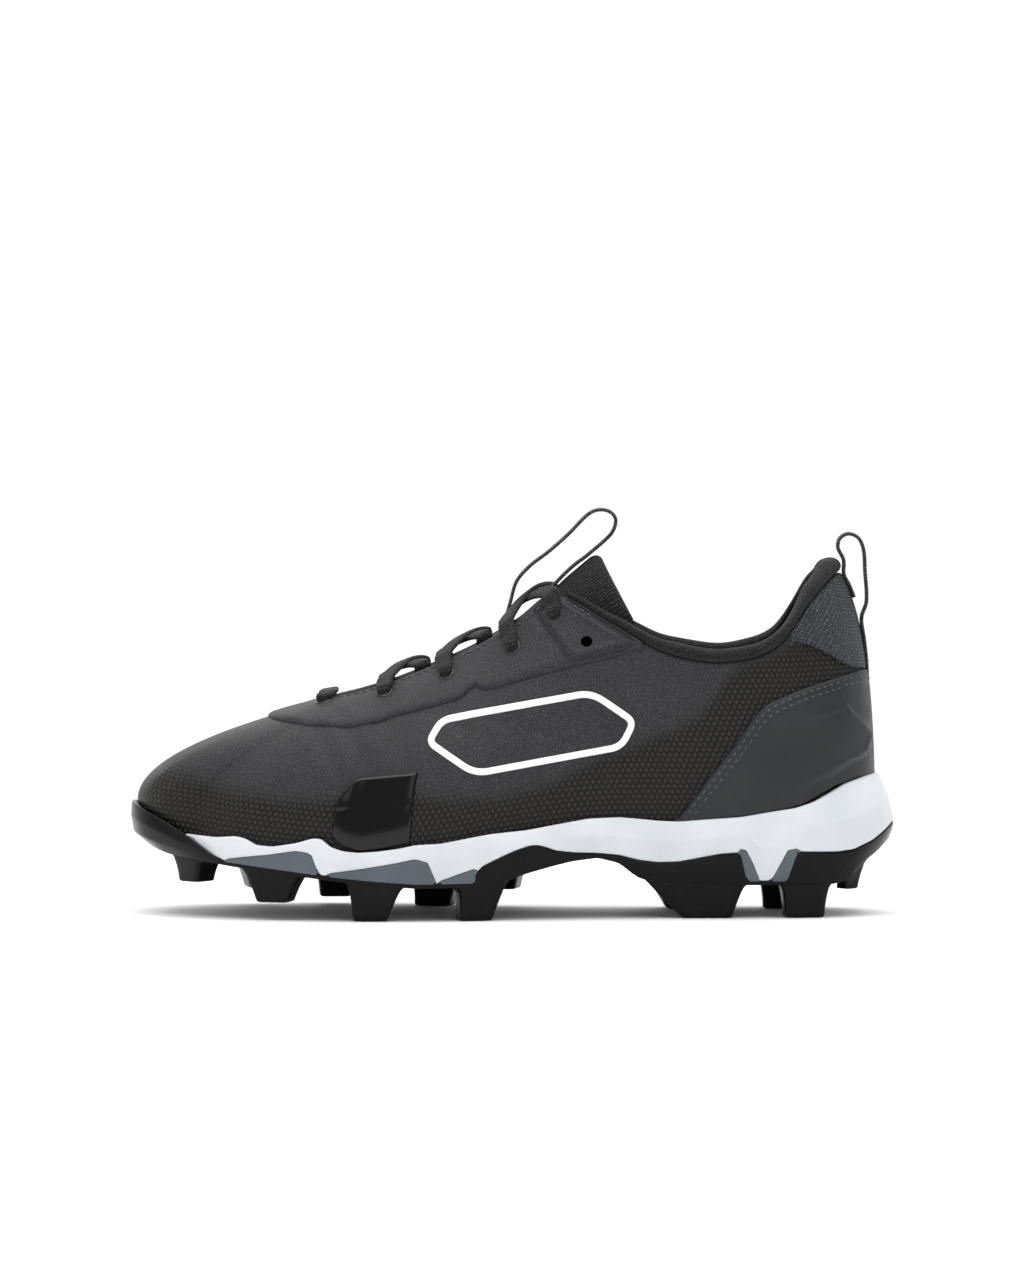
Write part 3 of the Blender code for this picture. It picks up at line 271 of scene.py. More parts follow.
# Lugs: where each starts and ends along its side, at the root and at the tip, the height of
# its tip over the floor and its share of the lug depth
LUGS = table(
    Lug,
    (OUTER, 0.910, 0.959, 0.919, 0.953, 0.285, 1.00),
    (OUTER, 0.776, 0.854, 0.794, 0.836, 0.145, 1.00),
    (OUTER, 0.641, 0.714, 0.661, 0.707, 0.000, 1.00),
    (OUTER, 0.503, 0.566, 0.522, 0.565, 0.000, 1.00),
    (OUTER, 0.197, 0.326, 0.214, 0.279, 0.000, 1.00),
    (OUTER, 0.078, 0.148, 0.084, 0.143, 0.000, 1.00),
    (INNER, 0.917, 0.966, 0.926, 0.960, 0.285, 1.00),
    (INNER, 0.800, 0.876, 0.818, 0.860, 0.145, 1.00),
    (INNER, 0.690, 0.764, 0.712, 0.757, 0.068, 1.00),
    (INNER, 0.553, 0.620, 0.570, 0.617, 0.000, 1.00),
    (INNER, 0.475, 0.515, 0.485, 0.510, 0.150, 1.00),
    (INNER, 0.210, 0.330, 0.230, 0.300, 0.000, 1.00),
    (INNER, 0.082, 0.175, 0.094, 0.169, 0.000, 1.00),
    (OUTER, 0.030, 0.060, 0.036, 0.055, 0.225, 0.45),
    (INNER, 0.030, 0.060, 0.036, 0.055, 0.225, 0.45),
)

# The upper: columns from the toe to the heel. Each leaves the sole at "seat", meets the top
# line at (top, side, height), and its curve rises, bulges out, reaches out and drops.
COLUMNS = table(
    Column,
    (1.000, 0.748, 0.000, 0.693, 0.120, 0.003, 0.380, 0.100),
    (0.972, 0.745, 0.083, 0.695, 0.125, 0.005, 0.360, 0.100),
    (0.924, 0.738, 0.154, 0.700, 0.140, 0.005, 0.320, 0.100),
    (0.860, 0.722, 0.200, 0.708, 0.160, 0.010, 0.270, 0.090),
    (0.792, 0.694, 0.226, 0.726, 0.180, 0.015, 0.230, 0.085),
    (0.712, 0.652, 0.237, 0.760, 0.200, 0.020, 0.200, 0.090),
    (0.632, 0.602, 0.241, 0.812, 0.220, 0.025, 0.180, 0.100),
    (0.552, 0.548, 0.245, 0.875, 0.240, 0.030, 0.160, 0.120),
    (0.476, 0.492, 0.260, 0.960, 0.260, 0.035, 0.140, 0.150),
    (0.412, 0.440, 0.315, 1.046, 0.270, 0.035, 0.100, 0.200),
    (0.344, 0.372, 0.417, 0.963, 0.240, 0.030, 0.060, 0.220),
    (0.272, 0.300, 0.491, 0.866, 0.200, 0.030, 0.030, 0.180),
    (0.200, 0.222, 0.509, 0.836, 0.180, 0.030, 0.010, 0.160),
    (0.128, 0.156, 0.472, 0.885, 0.180, 0.020, 0.010, 0.160),
    (0.060, 0.112, 0.333, 1.025, 0.190, 0.010, 0.050, 0.160),
    (0.018, 0.084, 0.167, 1.100, 0.200, -0.002, 0.080, 0.150),
    (0.000, 0.075, 0.000, 1.113, 0.200, -0.006, 0.090, 0.140),
)
TOP_CORNER = 9.0

# Edges of the overlays in side view, as shares of the length and of the upper height
EYESTAY_EDGE = table(
    Edge,
    (0.330, 0.879), (0.370, 0.846), (0.424, 0.815), (0.478, 0.780), (0.520, 0.747), (0.540, 0.739),
    (0.548, 0.757), (0.567, 0.712), (0.616, 0.679), (0.648, 0.658), (0.672, 0.637), (0.710, 0.621),
    (0.764, 0.624), (0.804, 0.636), (0.840, 0.650),
)
COUNTER_EDGE = table(
    Edge,
    (0.000, 0.812), (0.048, 0.800), (0.086, 0.773), (0.124, 0.744), (0.170, 0.696), (0.185, 0.658),
    (0.208, 0.573), (0.238, 0.479), (0.261, 0.402), (0.290, 0.310),
)
TAB_EDGE = table(
    Edge,
    (0.000, 0.826), (0.056, 0.826), (0.070, 0.840), (0.092, 0.874), (0.115, 0.900), (0.137, 0.915),
    (0.160, 0.925),
)
PATCH_TOP_EDGE = table(Edge, (0.600, 0.485), (0.700, 0.462), (0.760, 0.300))
EYESTAY_ENDS = 10.6
EYESTAY_TOP = 0.992
COUNTER_ENDS = 10.75
COUNTER_TUCK = 0.01
TAB_ENDS = 13.3
TAB_TOP = 0.995
TAB_TUCK = 0.03
COLLAR_BEGINS = 9.2
COLLAR_SLIM = 0.5
PATCH_FROM, PATCH_TO = 4.72, 6.02
SEAT_BAND = 0.050
OVERLAY_TOP = 0.985
RIM_REACH = 0.016

# Upper stitches: the columns each row runs between and how far it keeps from its edge
COUNTER_SEAM_INSETS_MM = (-1.5, -3.4)
HEEL_SEAM = (14.45, 15.97)
HEEL_SEAM_DROPS = (0.022, 0.048)
EYESTAY_SEAM = (1.2, 9.6)

# Eyelets: their columns along the throat and how far they sit below its edge
EYELETS = table(
    Eyelet,
    (2.20, 4.0 * MM), (4.80, 7.0 * MM), (6.30, 8.0 * MM),
    (7.80, 9.5 * MM), (8.90, 7.0 * MM), (9.50, 13.0 * MM),
)

# Tongue: rows from the front end to the top, with the height of its middle, its half width,
# how far its sides drop and how far back they sweep, as shares
TONGUE_ROWS = table(
    Fold,
    (0.764, 0.630, 0.240, 0.045, 0.010),
    (0.712, 0.690, 0.275, 0.060, 0.015),
    (0.660, 0.728, 0.290, 0.075, 0.022),
    (0.600, 0.790, 0.300, 0.095, 0.035),
    (0.548, 0.855, 0.305, 0.120, 0.055),
    (0.500, 0.930, 0.310, 0.150, 0.080),
    (0.456, 1.030, 0.315, 0.185, 0.100),
    (0.420, 1.120, 0.315, 0.215, 0.115),
    (0.388, 1.180, 0.310, 0.225, 0.120),
)

# Pull loops: the free part of each in side view, as shares of the length and of the upper
# height. Their ends lie on the tongue and on the heel.
TONGUE_LOOP = table(
    Edge,
    (0.503, 1.010), (0.494, 1.085), (0.477, 1.135), (0.452, 1.183), (0.425, 1.243), (0.407, 1.290),
    (0.396, 1.312), (0.384, 1.320), (0.372, 1.313), (0.365, 1.294), (0.365, 1.268), (0.372, 1.236),
)
# Where each end lies: rows of the tongue, or shares of the heel's height with the number of
# tapes that it stands over
TONGUE_LOOP_FRONT = (4.55, 4.75)
TONGUE_LOOP_REAR = (7.6, 7.2, 6.8, 6.4, 6.1)
HEEL_LOOP = table(
    Edge,
    (0.0360, 1.020), (0.0380, 1.120), (0.0400, 1.190), (0.0470, 1.228), (0.0600, 1.241),
    (0.0710, 1.226), (0.0735, 1.196), (0.0660, 1.155),
)
HEEL_LOOP_OUTSIDE = ((0.42, -0.9), (0.52, -0.4), (0.62, -0.1), (0.72, 0.4))
HEEL_LOOP_INSIDE = ((0.97, 0.0), (0.90, 0.0), (0.83, 0.0))

# Upper boundary of the nubbed zone in side view, as shares of length and upper height
NUB_EDGE = table(
    Edge,
    (0.000, 0.900), (0.128, 0.912), (0.143, 0.898), (0.192, 0.850), (0.220, 0.800), (0.257, 0.667),
    (0.314, 0.602), (0.390, 0.534), (0.450, 0.455), (0.515, 0.412), (0.592, 0.410), (0.660, 0.440),
    (0.728, 0.405), (0.804, 0.402), (0.861, 0.428), (0.918, 0.468), (0.956, 0.500), (1.000, 0.520),
)
# Raised shapes in side view, in millimetres from the heel and from the floor
LOZENGE = ((38.0, 39.0), (11.0, 52.5), (8.5, 59.0), (17.0, 68.5), (34.0, 62.0))
STAY_PANEL = (
    (109.4, 103.1), (115.7, 98.0), (106.6, 85.4), (104.3, 84.2), (87.2, 88.7), (86.7, 89.6),
)
LOZENGE_FADES = (18.0, 36.0)
PATCH_RIDGE = ((176.9, 37.6), (159.0, 39.9))
# Stitched line up the heel counter, in millimetres from the heel and from the floor
COUNTER_SEAM = (
    (72.2, 30.0), (67.0, 38.5), (59.4, 47.9), (52.0, 57.3), (46.2, 65.6), (41.6, 69.6),
    (31.0, 74.3), (20.5, 77.5),
)
# Outline on the quarter: its six corners in millimetres round its middle, and its tilt
MARK_CORNERS = (
    (-34.0, -4.0), (-22.0, 9.5), (28.0, 13.0), (35.0, 6.0), (22.0, -8.5), (-27.0, -12.0),
)
MARK_MIDDLE = (118.0, 60.0)
MARK_TILT_DEG = -14.0
# Its cross-section, and that of an eyelet's lip, in millimetres: how far in from its outer
# edge or out from the eyelet's middle, and how high over the skin
MARK_SECTION = (
    (0.0, 0.0), (0.15, 0.32), (0.5, 0.42), (1.6, 0.42), (2.05, 0.32), (2.2, 0.0),
    (2.2, -0.3), (1.1, -0.3), (0.0, -0.3),
)
LIP_SECTION = (
    (1.75, 0.2), (1.75, 1.35), (1.95, 1.62), (2.35, 1.68), (2.75, 1.55), (3.0, 1.2), (3.0, 0.6),
)
# How a lug's section grows past its straight taper, in millimetres, from the root to the tip
LUG_FLARE = (
    (0.0, 1.5), (0.05, 0.8), (0.12, 0.25), (0.22, 0.0), (0.36, -0.1), (0.5, -0.15),
    (0.65, -0.15), (0.8, -0.1), (0.92, 0.0), (0.97, -0.12), (1.0, -0.6),
)
# Soft folds of the upper: place, tilt, reach, width, depth and the side they lie on, 0 for both
CREASES = table(
    Crease,
    (0.700, 0.560, 62.0, 17.0, 2.6, -0.55, 0),
    (0.735, 0.530, 68.0, 16.0, 2.4, -0.45, 0),
    (0.672, 0.560, 58.0, 14.0, 3.0, 0.40, 0),
    (0.775, 0.500, 74.0, 12.0, 2.2, -0.30, 0),
    (0.560, 0.620, 38.0, 15.0, 3.0, -0.45, 0),
    (0.470, 0.620, 20.0, 20.0, 3.6, -0.40, 0),
    (0.360, 0.760, -24.0, 16.0, 3.0, -0.40, 0),
    (0.250, 0.700, 55.0, 14.0, 3.2, 0.35, 0),
    (0.600, 0.500, 80.0, 9.0, 2.6, 0.30, -1),
    (0.520, 0.520, 30.0, 16.0, 3.2, -0.35, -1),
)


def spline(knots: Sequence[float], values: Sequence[float], at: np.ndarray) -> np.ndarray:
    """Smooth curve through values at rising knots.

    Args:
        knots: Rising places.
        values: Value at each knot.
        at: Places to read.

    Returns:
        The curve's values.
    """
    knots, values = np.asarray(knots, float), np.asarray(values, float)
    slopes = np.empty_like(values)
    slopes[1:-1] = (values[2:] - values[:-2]) / (knots[2:] - knots[:-2])
    slopes[0] = (values[1] - values[0]) / (knots[1] - knots[0])
    slopes[-1] = (values[-1] - values[-2]) / (knots[-1] - knots[-2])
    at = np.asarray(at, float)
    index = np.clip(np.searchsorted(knots, at, side="right") - 1, 0, len(knots) - 2)
    span = knots[index + 1] - knots[index]
    t = (at - knots[index]) / span
    rise, fall = slopes[index] * span, slopes[index + 1] * span
    return ((2 * t**3 - 3 * t**2 + 1) * values[index] + (t**3 - 2 * t**2 + t) * rise
            + (3 * t**2 - 2 * t**3) * values[index + 1] + (t**3 - t**2) * fall)


def column_of(rows: Sequence[NamedTuple], name: str) -> np.ndarray:
    """One named column of a table."""
    return np.array([getattr(row, name) for row in rows], dtype=float)


def level(rows: Sequence[Edge], at: np.ndarray, soften: float = 0.0) -> np.ndarray:
    """Height share of an edge.

    Args:
        rows: The edge's points.
        at: Shares of the length.
        soften: How far its corners are rounded, as a share of the length.

    Returns:
        Height shares.
    """
    along, height = column_of(rows, "along"), column_of(rows, "height")
    order = np.argsort(along, kind="stable")
    along, height = along[order], height[order]
    at = np.asarray(at, float)
    if not soften:
        return np.interp(at, along, height)
    taps = ((-1.0, 1.0), (-0.5, 2.0), (0.0, 2.0), (0.5, 2.0), (1.0, 1.0))
    return sum(weight * np.interp(at + shift * soften, along, height)
               for shift, weight in taps) / 8.0


def unit(vectors: np.ndarray) -> np.ndarray:
    """Vectors scaled to length one."""
    return vectors / np.maximum(np.linalg.norm(vectors, axis=-1, keepdims=True), 1e-12)


def ramp(low: float, high: float, at: np.ndarray) -> np.ndarray:
    """Rises straight from 0 at low to 1 at high."""
    return np.clip((np.asarray(at, float) - low) / (high - low), 0, 1)


def smooth_step(low: float, high: float, at: np.ndarray) -> np.ndarray:
    """Rises smoothly from 0 at low to 1 at high."""
    t = ramp(low, high, at)
    return t * t * (3 - 2 * t)


def run_of(line: np.ndarray) -> np.ndarray:
    """Distance of each point from the first, along the line."""
    return np.concatenate([[0], np.cumsum(np.linalg.norm(np.diff(line, axis=0), axis=1))])


def circle(count: int) -> tuple[np.ndarray, np.ndarray]:
    """Cosines and sines once round."""
    turn = np.linspace(0, 2 * math.pi, count, endpoint=False)
    return np.cos(turn), np.sin(turn)


def squared(wave: np.ndarray, power: float) -> np.ndarray:
    """A wave with flatter crests, for sections between a circle and a rectangle."""
    return np.sign(wave) * np.abs(wave)**power


def share_along(points: np.ndarray) -> np.ndarray:
    """Shares of the length at points in space."""
    return (points[..., 0] + LENGTH / 2) / LENGTH


def flat_mm(points: np.ndarray) -> tuple[np.ndarray, np.ndarray]:
    """Millimetres from the heel and from the floor at points in space."""
    return (points[..., 0] + LENGTH / 2) / MM, points[..., 2] / MM


def halves(sides: np.ndarray) -> Iterator[tuple[Flank, np.ndarray]]:
    """Each side of the foot with the columns on it."""
    for side in Flank:
        yield side, sides == int(side)


@dataclass
class Last:
    """The form that every piece shares: the sole's outline and side, and the upper's skin."""

    per_span: int = 24
    soften: float = 0.0045
    rails: dict = field(default_factory=dict)

    def __post_init__(self) -> None:
        """Lay out the outline's two rails from heel to toe."""
        outer = [(row.along * LENGTH, row.outer * row.width) for row in OUTLINE]
        inner = [(row.along * LENGTH, row.inner * row.width) for row in OUTLINE[-2:0:-1]]
        ring = np.array(outer + inner)
        steps = np.arange(self.per_span)[:, None] / self.per_span
        spans = []
        for i in range(len(ring)):
            a, b, c, d = (ring[(i + k) % len(ring)] for k in (-1, 0, 1, 2))
            spans.append(0.5 * (2 * b + (c - a) * steps + (2 * a - 5 * b + 4 * c - d) * steps**2
                                + (3 * b - a - 3 * c + d) * steps**3))
        points = np.concatenate(spans)
        ahead = np.roll(points, -1, axis=0) - np.roll(points, 1, axis=0)
        normals = unit(np.stack([ahead[:, 1], -ahead[:, 0]], axis=1))
        heel = self.per_span * (len(OUTLINE) - 1)
        for side, index in ((OUTER, np.arange(heel, -1, -1)),
                            (INNER, np.arange(heel, len(points) + 1) % len(points))):
            reach = np.maximum.accumulate(points[index, 0])
            self.rails[side] = (reach, points[index], normals[index])

    def outline(self, side: Flank, along: np.ndarray) -> tuple[np.ndarray, np.ndarray]:
        """Points and outward directions on the outline.

        Args:
            side: Side of the foot.
            along: Shares of the length.

        Returns:
            Points and unit directions, in plan.
        """
        reach, points, normals = self.rails[side]
        index = np.arange(len(reach))
        place = np.interp(np.clip(along, 0, 1) * LENGTH, reach, index)
        point = np.stack([np.interp(place, index, points[:, k]) for k in (0, 1)], axis=-1)
        normal = np.stack([np.interp(place, index, normals[:, k]) for k in (0, 1)], axis=-1)
        return point, unit(normal)

    def edge(self, side: Flank, along: np.ndarray, offset: np.ndarray,
             height: np.ndarray) -> np.ndarray:
        """Points beside the outline.

        Args:
            side: Side of the foot.
            along: Shares of the length.
            offset: Distance outward from the outline.
            height: Height over the floor.

        Returns:
            Points in space.
        """
        point, normal = self.outline(side, along)
        moved = point + normal * np.asarray(offset)[..., None]
        height = np.broadcast_to(height, moved[..., 0].shape)
        return np.stack([moved[..., 0] - LENGTH / 2, moved[..., 1], height], axis=-1)

    def plate_low(self, along: np.ndarray) -> np.ndarray:
        """Height of the rubber's lower edge."""
        return level(PLATE_EDGE, along, self.soften) * SOLE_HEIGHT

    def rubber_rim(self, along: np.ndarray) -> np.ndarray:
        """Height of the rubber's upper edge."""
        return level(RUBBER_EDGE, along, self.soften * 0.5) * SOLE_HEIGHT

    def foam_top(self, along: np.ndarray) -> np.ndarray:
        """Height of the foam's upper edge, sunk where the bumper hides it."""
        sink = TOE_SINK * ramp(TOE_BEGINS, TOE_COVERS, along)
        return level(FOAM_EDGE, along, self.soften * 0.6) * SOLE_HEIGHT - sink

    def footbed(self, along: np.ndarray) -> np.ndarray:
        """Height of the footbed."""
        return self.side_value("footbed", along) * SOLE_HEIGHT

    def wall(self, along: np.ndarray, height: np.ndarray) -> np.ndarray:
        """Outward offset of the sole's side at a height."""
        low = level(PLATE_EDGE, along) * SOLE_HEIGHT
        top = np.maximum(level(FOAM_EDGE, along), level(RUBBER_EDGE, along)) * SOLE_HEIGHT
        full = self.side_value("fullest", along) * SOLE_HEIGHT
        below = np.clip((full - height) / np.maximum(full - low, MM), 0, 1)
        above = np.clip((height - full) / np.maximum(top - full, MM), 0, 1)
        tuck = -self.side_value("tuck", along) * SOLE_TAPER * below**2
        lean = -self.side_value("lean", along) * SOLE_TAPER * above**1.5
        return np.where(height < full, tuck, lean)

    def side_value(self, name: str, along: np.ndarray) -> np.ndarray:
        """A column of the sole's side table."""
        return spline(column_of(SIDES, "along"), column_of(SIDES, name), along)

    def bumper_recess(self, along: np.ndarray) -> np.ndarray:
        """How far the foam stands back behind the toe bumper."""
        covered = ramp(BUMPER_BEGINS, BUMPER_COVERS, along)
        closed = ramp(BUMPER_COVERS, BUMPER_CLOSES, along)
        return (RUBBER_LIP + CLEARANCE) * covered + BUMPER_GAP * closed

    def foam_inside(self, along: np.ndarray) -> np.ndarray:
        """Outward offset of the inner face of the foam's rim."""
        covered = ramp(BUMPER_BEGINS, BUMPER_COVERS, along)
        sink = TOE_SINK * ramp(TOE_BEGINS, TOE_COVERS, along)
        top = level(FOAM_EDGE, along) * SOLE_HEIGHT - sink
        face = self.wall(along, top) - self.bumper_recess(along)
        return face - FOAM_LIP + (FOAM_LIP - FOAM_TOE_LIP) * covered

    def upper_value(self, name: str, u: np.ndarray, odd: bool = False) -> np.ndarray:
        """A column of the upper's table, mirrored smoothly past both ends."""
        values = column_of(COLUMNS, name)
        sign = -1 if odd else 1
        head = 2 * values[0] * odd + sign * values[1]
        tail = 2 * values[-1] * odd + sign * values[-2]
        return spline(np.arange(-1, len(values) + 1), [head, *values, tail], u)

    def seat(self, side: Flank, u: np.ndarray) -> tuple[np.ndarray, np.ndarray, np.ndarray]:
        """The strip of the upper inside the sole's rim.

        Args:
            side: Side of the foot.
            u: Places along the upper's columns.

        Returns:
            Its lower points, its upper points, and the outward directions in plan.
        """
        along = np.clip(self.upper_value("seat", u), 0, 1)
        bed = self.footbed(along) + CLEARANCE
        top = np.max([np.maximum(level(FOAM_EDGE, along + s), level(RUBBER_EDGE, along + s))
                      for s in np.linspace(-RIM_REACH, RIM_REACH, 5)], axis=0) * SOLE_HEIGHT
        cover = ramp(TOE_BEGINS, TOE_COVERS, along)
        inside = self.foam_inside(along) - SEAT_GAP
        over = self.wall(along, top) - RUBBER_LIP - SEAT_GAP
        low = self.edge(side, along, inside - cover * SEAT_GAP, bed)
        high = self.edge(side, along, inside + (over - inside) * cover, top)
        return low, high, self.outline(side, along)[1]

    def handles(self, side: Flank, u: np.ndarray) -> tuple[np.ndarray, ...]:
        """Control points of the upper's curves from the sole to the top line."""
        _, start, normal = self.seat(side, u)
        outward = np.concatenate([normal, np.zeros_like(normal[..., :1])], axis=-1)
        end = np.stack([self.upper_value("top", u) * LENGTH - LENGTH / 2,
                        side * self.upper_value("side", u, odd=True) * COLLAR_WIDTH,
                        self.upper_value("height", u) * UPPER_HEIGHT], axis=-1)
        rise, out, reach, drop = (self.upper_value(name, u)[..., None] * UPPER_HEIGHT
                                  for name in ("rise", "out", "reach", "drop"))
        return (start, start + outward * out + UPWARD * rise,
                end + outward * reach - UPWARD * drop, end)

    def bare(self, side: Flank, u: np.ndarray, w: np.ndarray) -> np.ndarray:
        """Points on the upper's plain form, w running from the sole to the top line."""
        u, w = np.broadcast_arrays(np.asarray(u, float), np.asarray(w, float))
        a, b, c, d = self.handles(side, u)
        w = w[..., None]
        return a * (1 - w)**3 + b * 3 * w * (1 - w)**2 + c * 3 * w * w * (1 - w) + d * w**3

    def normal(self, side: Flank, u: np.ndarray, w: np.ndarray) -> np.ndarray:
        """Outward directions of the upper's form."""
        last, step = len(COLUMNS) - 1, 0.02
        u, w = np.broadcast_arrays(np.asarray(u, float), np.asarray(w, float))
        across = (self.bare(side, np.minimum(u + step, last), w)
                  - self.bare(side, np.maximum(u - step, 0), w))
        ends = ((u <= 1e-6) | (u >= last - 1e-6))[..., None]
        across = np.where(ends, across * SIDEWAYS, across)
        upward = (self.bare(side, u, np.minimum(w + step, 1))
                  - self.bare(side, u, np.maximum(w - step, 0)))
        return unit(np.cross(across, upward) * int(side))

    def creases(self, side: Flank, points: np.ndarray) -> np.ndarray:
        """Height of the soft folds at points of the upper."""
        total = np.zeros(points.shape[:-1])
        for row in CREASES:
            if row.flank not in (0, int(side)):
                continue
            along, height = flat_mm(points)
            dx = along - row.along * LENGTH_MM
            dz = height - row.height * UPPER_HEIGHT / MM
            turn = math.radians(row.tilt_deg)
            run = dx * math.cos(turn) + dz * math.sin(turn)
            off = -dx * math.sin(turn) + dz * math.cos(turn) + 0.012 * run * run
            fade = np.exp(-(run / row.reach_mm)**2 * 1.6) * np.exp(-(off / row.width_mm)**2)
            total += row.depth_mm * MM * fade
        return total

    def skin(self, side: Flank, u: np.ndarray, w: np.ndarray, lift: np.ndarray = 0.0,
             folds: bool = True) -> np.ndarray:
        """Points on or over the upper's skin.

        Args:
            side: Side of the foot.
            u: Places along the columns.
            w: Shares from the sole to the top line.
            lift: Distance outward from the skin.
            folds: Whether the soft creases are laid in.

        Returns:
            Points in space.
        """
        points = self.bare(side, u, w)
        raised = np.broadcast_to(lift, points.shape[:-1])
        if folds:
            raised = raised + self.creases(side, points)
        return points + self.normal(side, u, w) * raised[..., None]

    def crossing(self, side: Flank, u: np.ndarray, edge: Sequence[Edge]) -> np.ndarray:
        """Share of each column's run at which it crosses an edge drawn in side view."""
        u = np.asarray(u, float)
        low, high = np.zeros_like(u), np.ones_like(u)

        def over(w: np.ndarray) -> np.ndarray:
            """Height over the edge."""
            points = self.bare(side, u, w)
            return points[..., 2] - level(edge, share_along(points), 0.006) * UPPER_HEIGHT

        above, below = over(low) > 0, over(high) < 0
        for _ in range(22):
            middle = (low + high) / 2
            under = over(middle) < 0
            low, high = np.where(under, middle, low), np.where(under, high, middle)
        return np.where(above, 0.0, np.where(below, 1.0, (low + high) / 2))


def depth_inside(points: np.ndarray, corners: Sequence[tuple[float, float]]) -> np.ndarray:
    """How deep points lie inside a shape drawn in side view.

    Args:
        points: Points in space.
        corners: The shape's corners, in millimetres from the heel and from the floor.

    Returns:
        Millimetres, below 0 outside the shape.
    """
    along, height = flat_mm(points)
    inside = np.full(points.shape[:-1], 1e9)
    for (x0, z0), (x1, z1) in zip(corners, (*corners[1:], corners[0])):
        off = (x1 - x0) * (height - z0) - (z1 - z0) * (along - x0)
        inside = np.minimum(inside, -off / math.hypot(x1 - x0, z1 - z0))
    return inside


class Shell:
    """Collects grids of points and faces and makes one closed piece of them."""

    def __init__(self) -> None:
        """Start with nothing."""
        self.points: list[np.ndarray] = []
        self.faces: list[tuple[int, ...]] = []
        self.uvs: list[tuple[tuple[float, float], ...]] = []
        self.slots: list[int] = []
        self.masks: dict[str, list[np.ndarray]] = {}
        self.count = 0

    def grid(self, points: np.ndarray, uv: Optional[np.ndarray] = None, wrap_rows: bool = False,
             wrap_columns: bool = False, caps: bool = False,
             row_slots: Optional[Sequence[int]] = None, **masks: np.ndarray) -> None:
        """Add a grid of faces.

        Args:
            points: Rows by columns of points.
            uv: Pattern places in millimetres, one row and column longer than the points.
            wrap_rows: Whether the last row joins the first.
            wrap_columns: Whether the last column joins the first.
            caps: Whether the first and last rows are closed with a face each.
            row_slots: Index of the finish for each row of faces.
            masks: Values at the points, by attribute name.
        """
        rows, columns = points.shape[:2]
        if uv is None:
            uv = self.distances(points)
        start = self.count
        for r in range(rows if wrap_rows else rows - 1):
            chosen = row_slots[r] if row_slots is not None else 0
            below = (r + 1) % rows
            for c in range(columns if wrap_columns else columns - 1):
                n = (c + 1) % columns
                self.faces.append((start + r * columns + c, start + r * columns + n,
                                   start + below * columns + n, start + below * columns + c))
                self.uvs.append((tuple(uv[r, c]), tuple(uv[r, c + 1]),
                                 tuple(uv[r + 1, c + 1]), tuple(uv[r + 1, c])))
                self.slots.append(chosen)
        if caps:
            first = [start + c for c in range(columns)]
            last = [start + (rows - 1) * columns + c for c in range(columns)]
            for ring, row in ((first[::-1], 0), (last, rows - 1)):
                self.faces.append(tuple(ring))
                cap_uv = [tuple(uv[row, c]) for c in range(columns)]
                self.uvs.append(tuple(cap_uv[::-1] if row == 0 else cap_uv))
                self.slots.append(0)
        self.points.append(points.reshape(-1, 3))
        self.count += rows * columns
        for name, values in masks.items():
            held = self.masks.setdefault(name, [])
            filled = sum(len(chunk) for chunk in held)
            held.append(np.zeros(start - filled))
            held.append(np.asarray(values, float).reshape(-1))

    @staticmethod
    def distances(points: np.ndarray) -> np.ndarray:
        """Distances along a grid's middle row and middle column, in millimetres."""
        rows, columns = points.shape[:2]
        middle_row, middle_column = points[rows // 2], points[:, columns // 2]
        across = np.linalg.norm(np.roll(middle_row, -1, 0) - middle_row, axis=1)
        down = np.linalg.norm(np.roll(middle_column, -1, 0) - middle_column, axis=1)
        u = np.concatenate([[0], np.cumsum(across)]) / MM
        v = np.concatenate([[0], np.cumsum(down)]) / MM
        return np.stack(np.meshgrid(u, v), axis=-1)

    def build(self, name: str, finishes: Sequence[bpy.types.Material], nodes: Sequence[str] = (),
              slot: str = "", sharp_deg: float = 40.0, weld: float = 0.0) -> bpy.types.Object:
        """Make the piece.

        Args:
            name: The piece's name.
            finishes: Its materials, in the order of the slots.
            nodes: Solids that it stands for.
            slot: The record's material slot.
            sharp_deg: Angle past which an edge stays crisp.
            weld: Distance under which points are merged.

        Returns:
            The piece.
        """
        mesh = bpy.data.meshes.new(name)
        mesh.from_pydata(np.concatenate(self.points).tolist(), [], self.faces)
        layer = mesh.uv_layers.new(name="UVMap")
        layer.data.foreach_set("uv", np.array(
            [value for face in self.uvs for corner in face for value in corner], dtype=float))
        for material in finishes:
            mesh.materials.append(material)
        mesh.polygons.foreach_set("material_index", self.slots)
        for mask, chunks in self.masks.items():
            values = np.zeros(self.count)
            joined = np.concatenate(chunks)
            values[:len(joined)] = joined
            mesh.attributes.new(mask, "FLOAT", "POINT").data.foreach_set("value", values)
        work = bmesh.new()
        work.from_mesh(mesh)
        if weld:
            bmesh.ops.remove_doubles(work, verts=work.verts, dist=weld)
        bmesh.ops.recalc_face_normals(work, faces=work.faces)
        work.to_mesh(mesh)
        work.free()
        mesh.shade_smooth()
        mesh.set_sharp_from_angle(angle=math.radians(sharp_deg))
        return settle(bpy.data.objects.new(name, mesh), nodes, slot)


def loft(name: str, rings: np.ndarray, finish: bpy.types.Material, nodes: Sequence[str] = (),
         slot: str = "", uv: Optional[np.ndarray] = None, caps: bool = True,
         **settings: float) -> bpy.types.Object:
    """One piece from a single row of rings.

    Args:
        name: The piece's name.
        rings: Points, rings by places round each.
        finish: Its material.
        nodes: Solids that it stands for.
        slot: The record's material slot.
        uv: Pattern places in millimetres.
        caps: Whether the first and last rings are closed.
        settings: Angle of crisp edges and distance of merged points, as in Shell.build.

    Returns:
        The piece.
    """
    shell = Shell()
    shell.grid(rings, uv=uv, wrap_columns=True, caps=caps)
    return shell.build(name, [finish], nodes, slot, **settings)


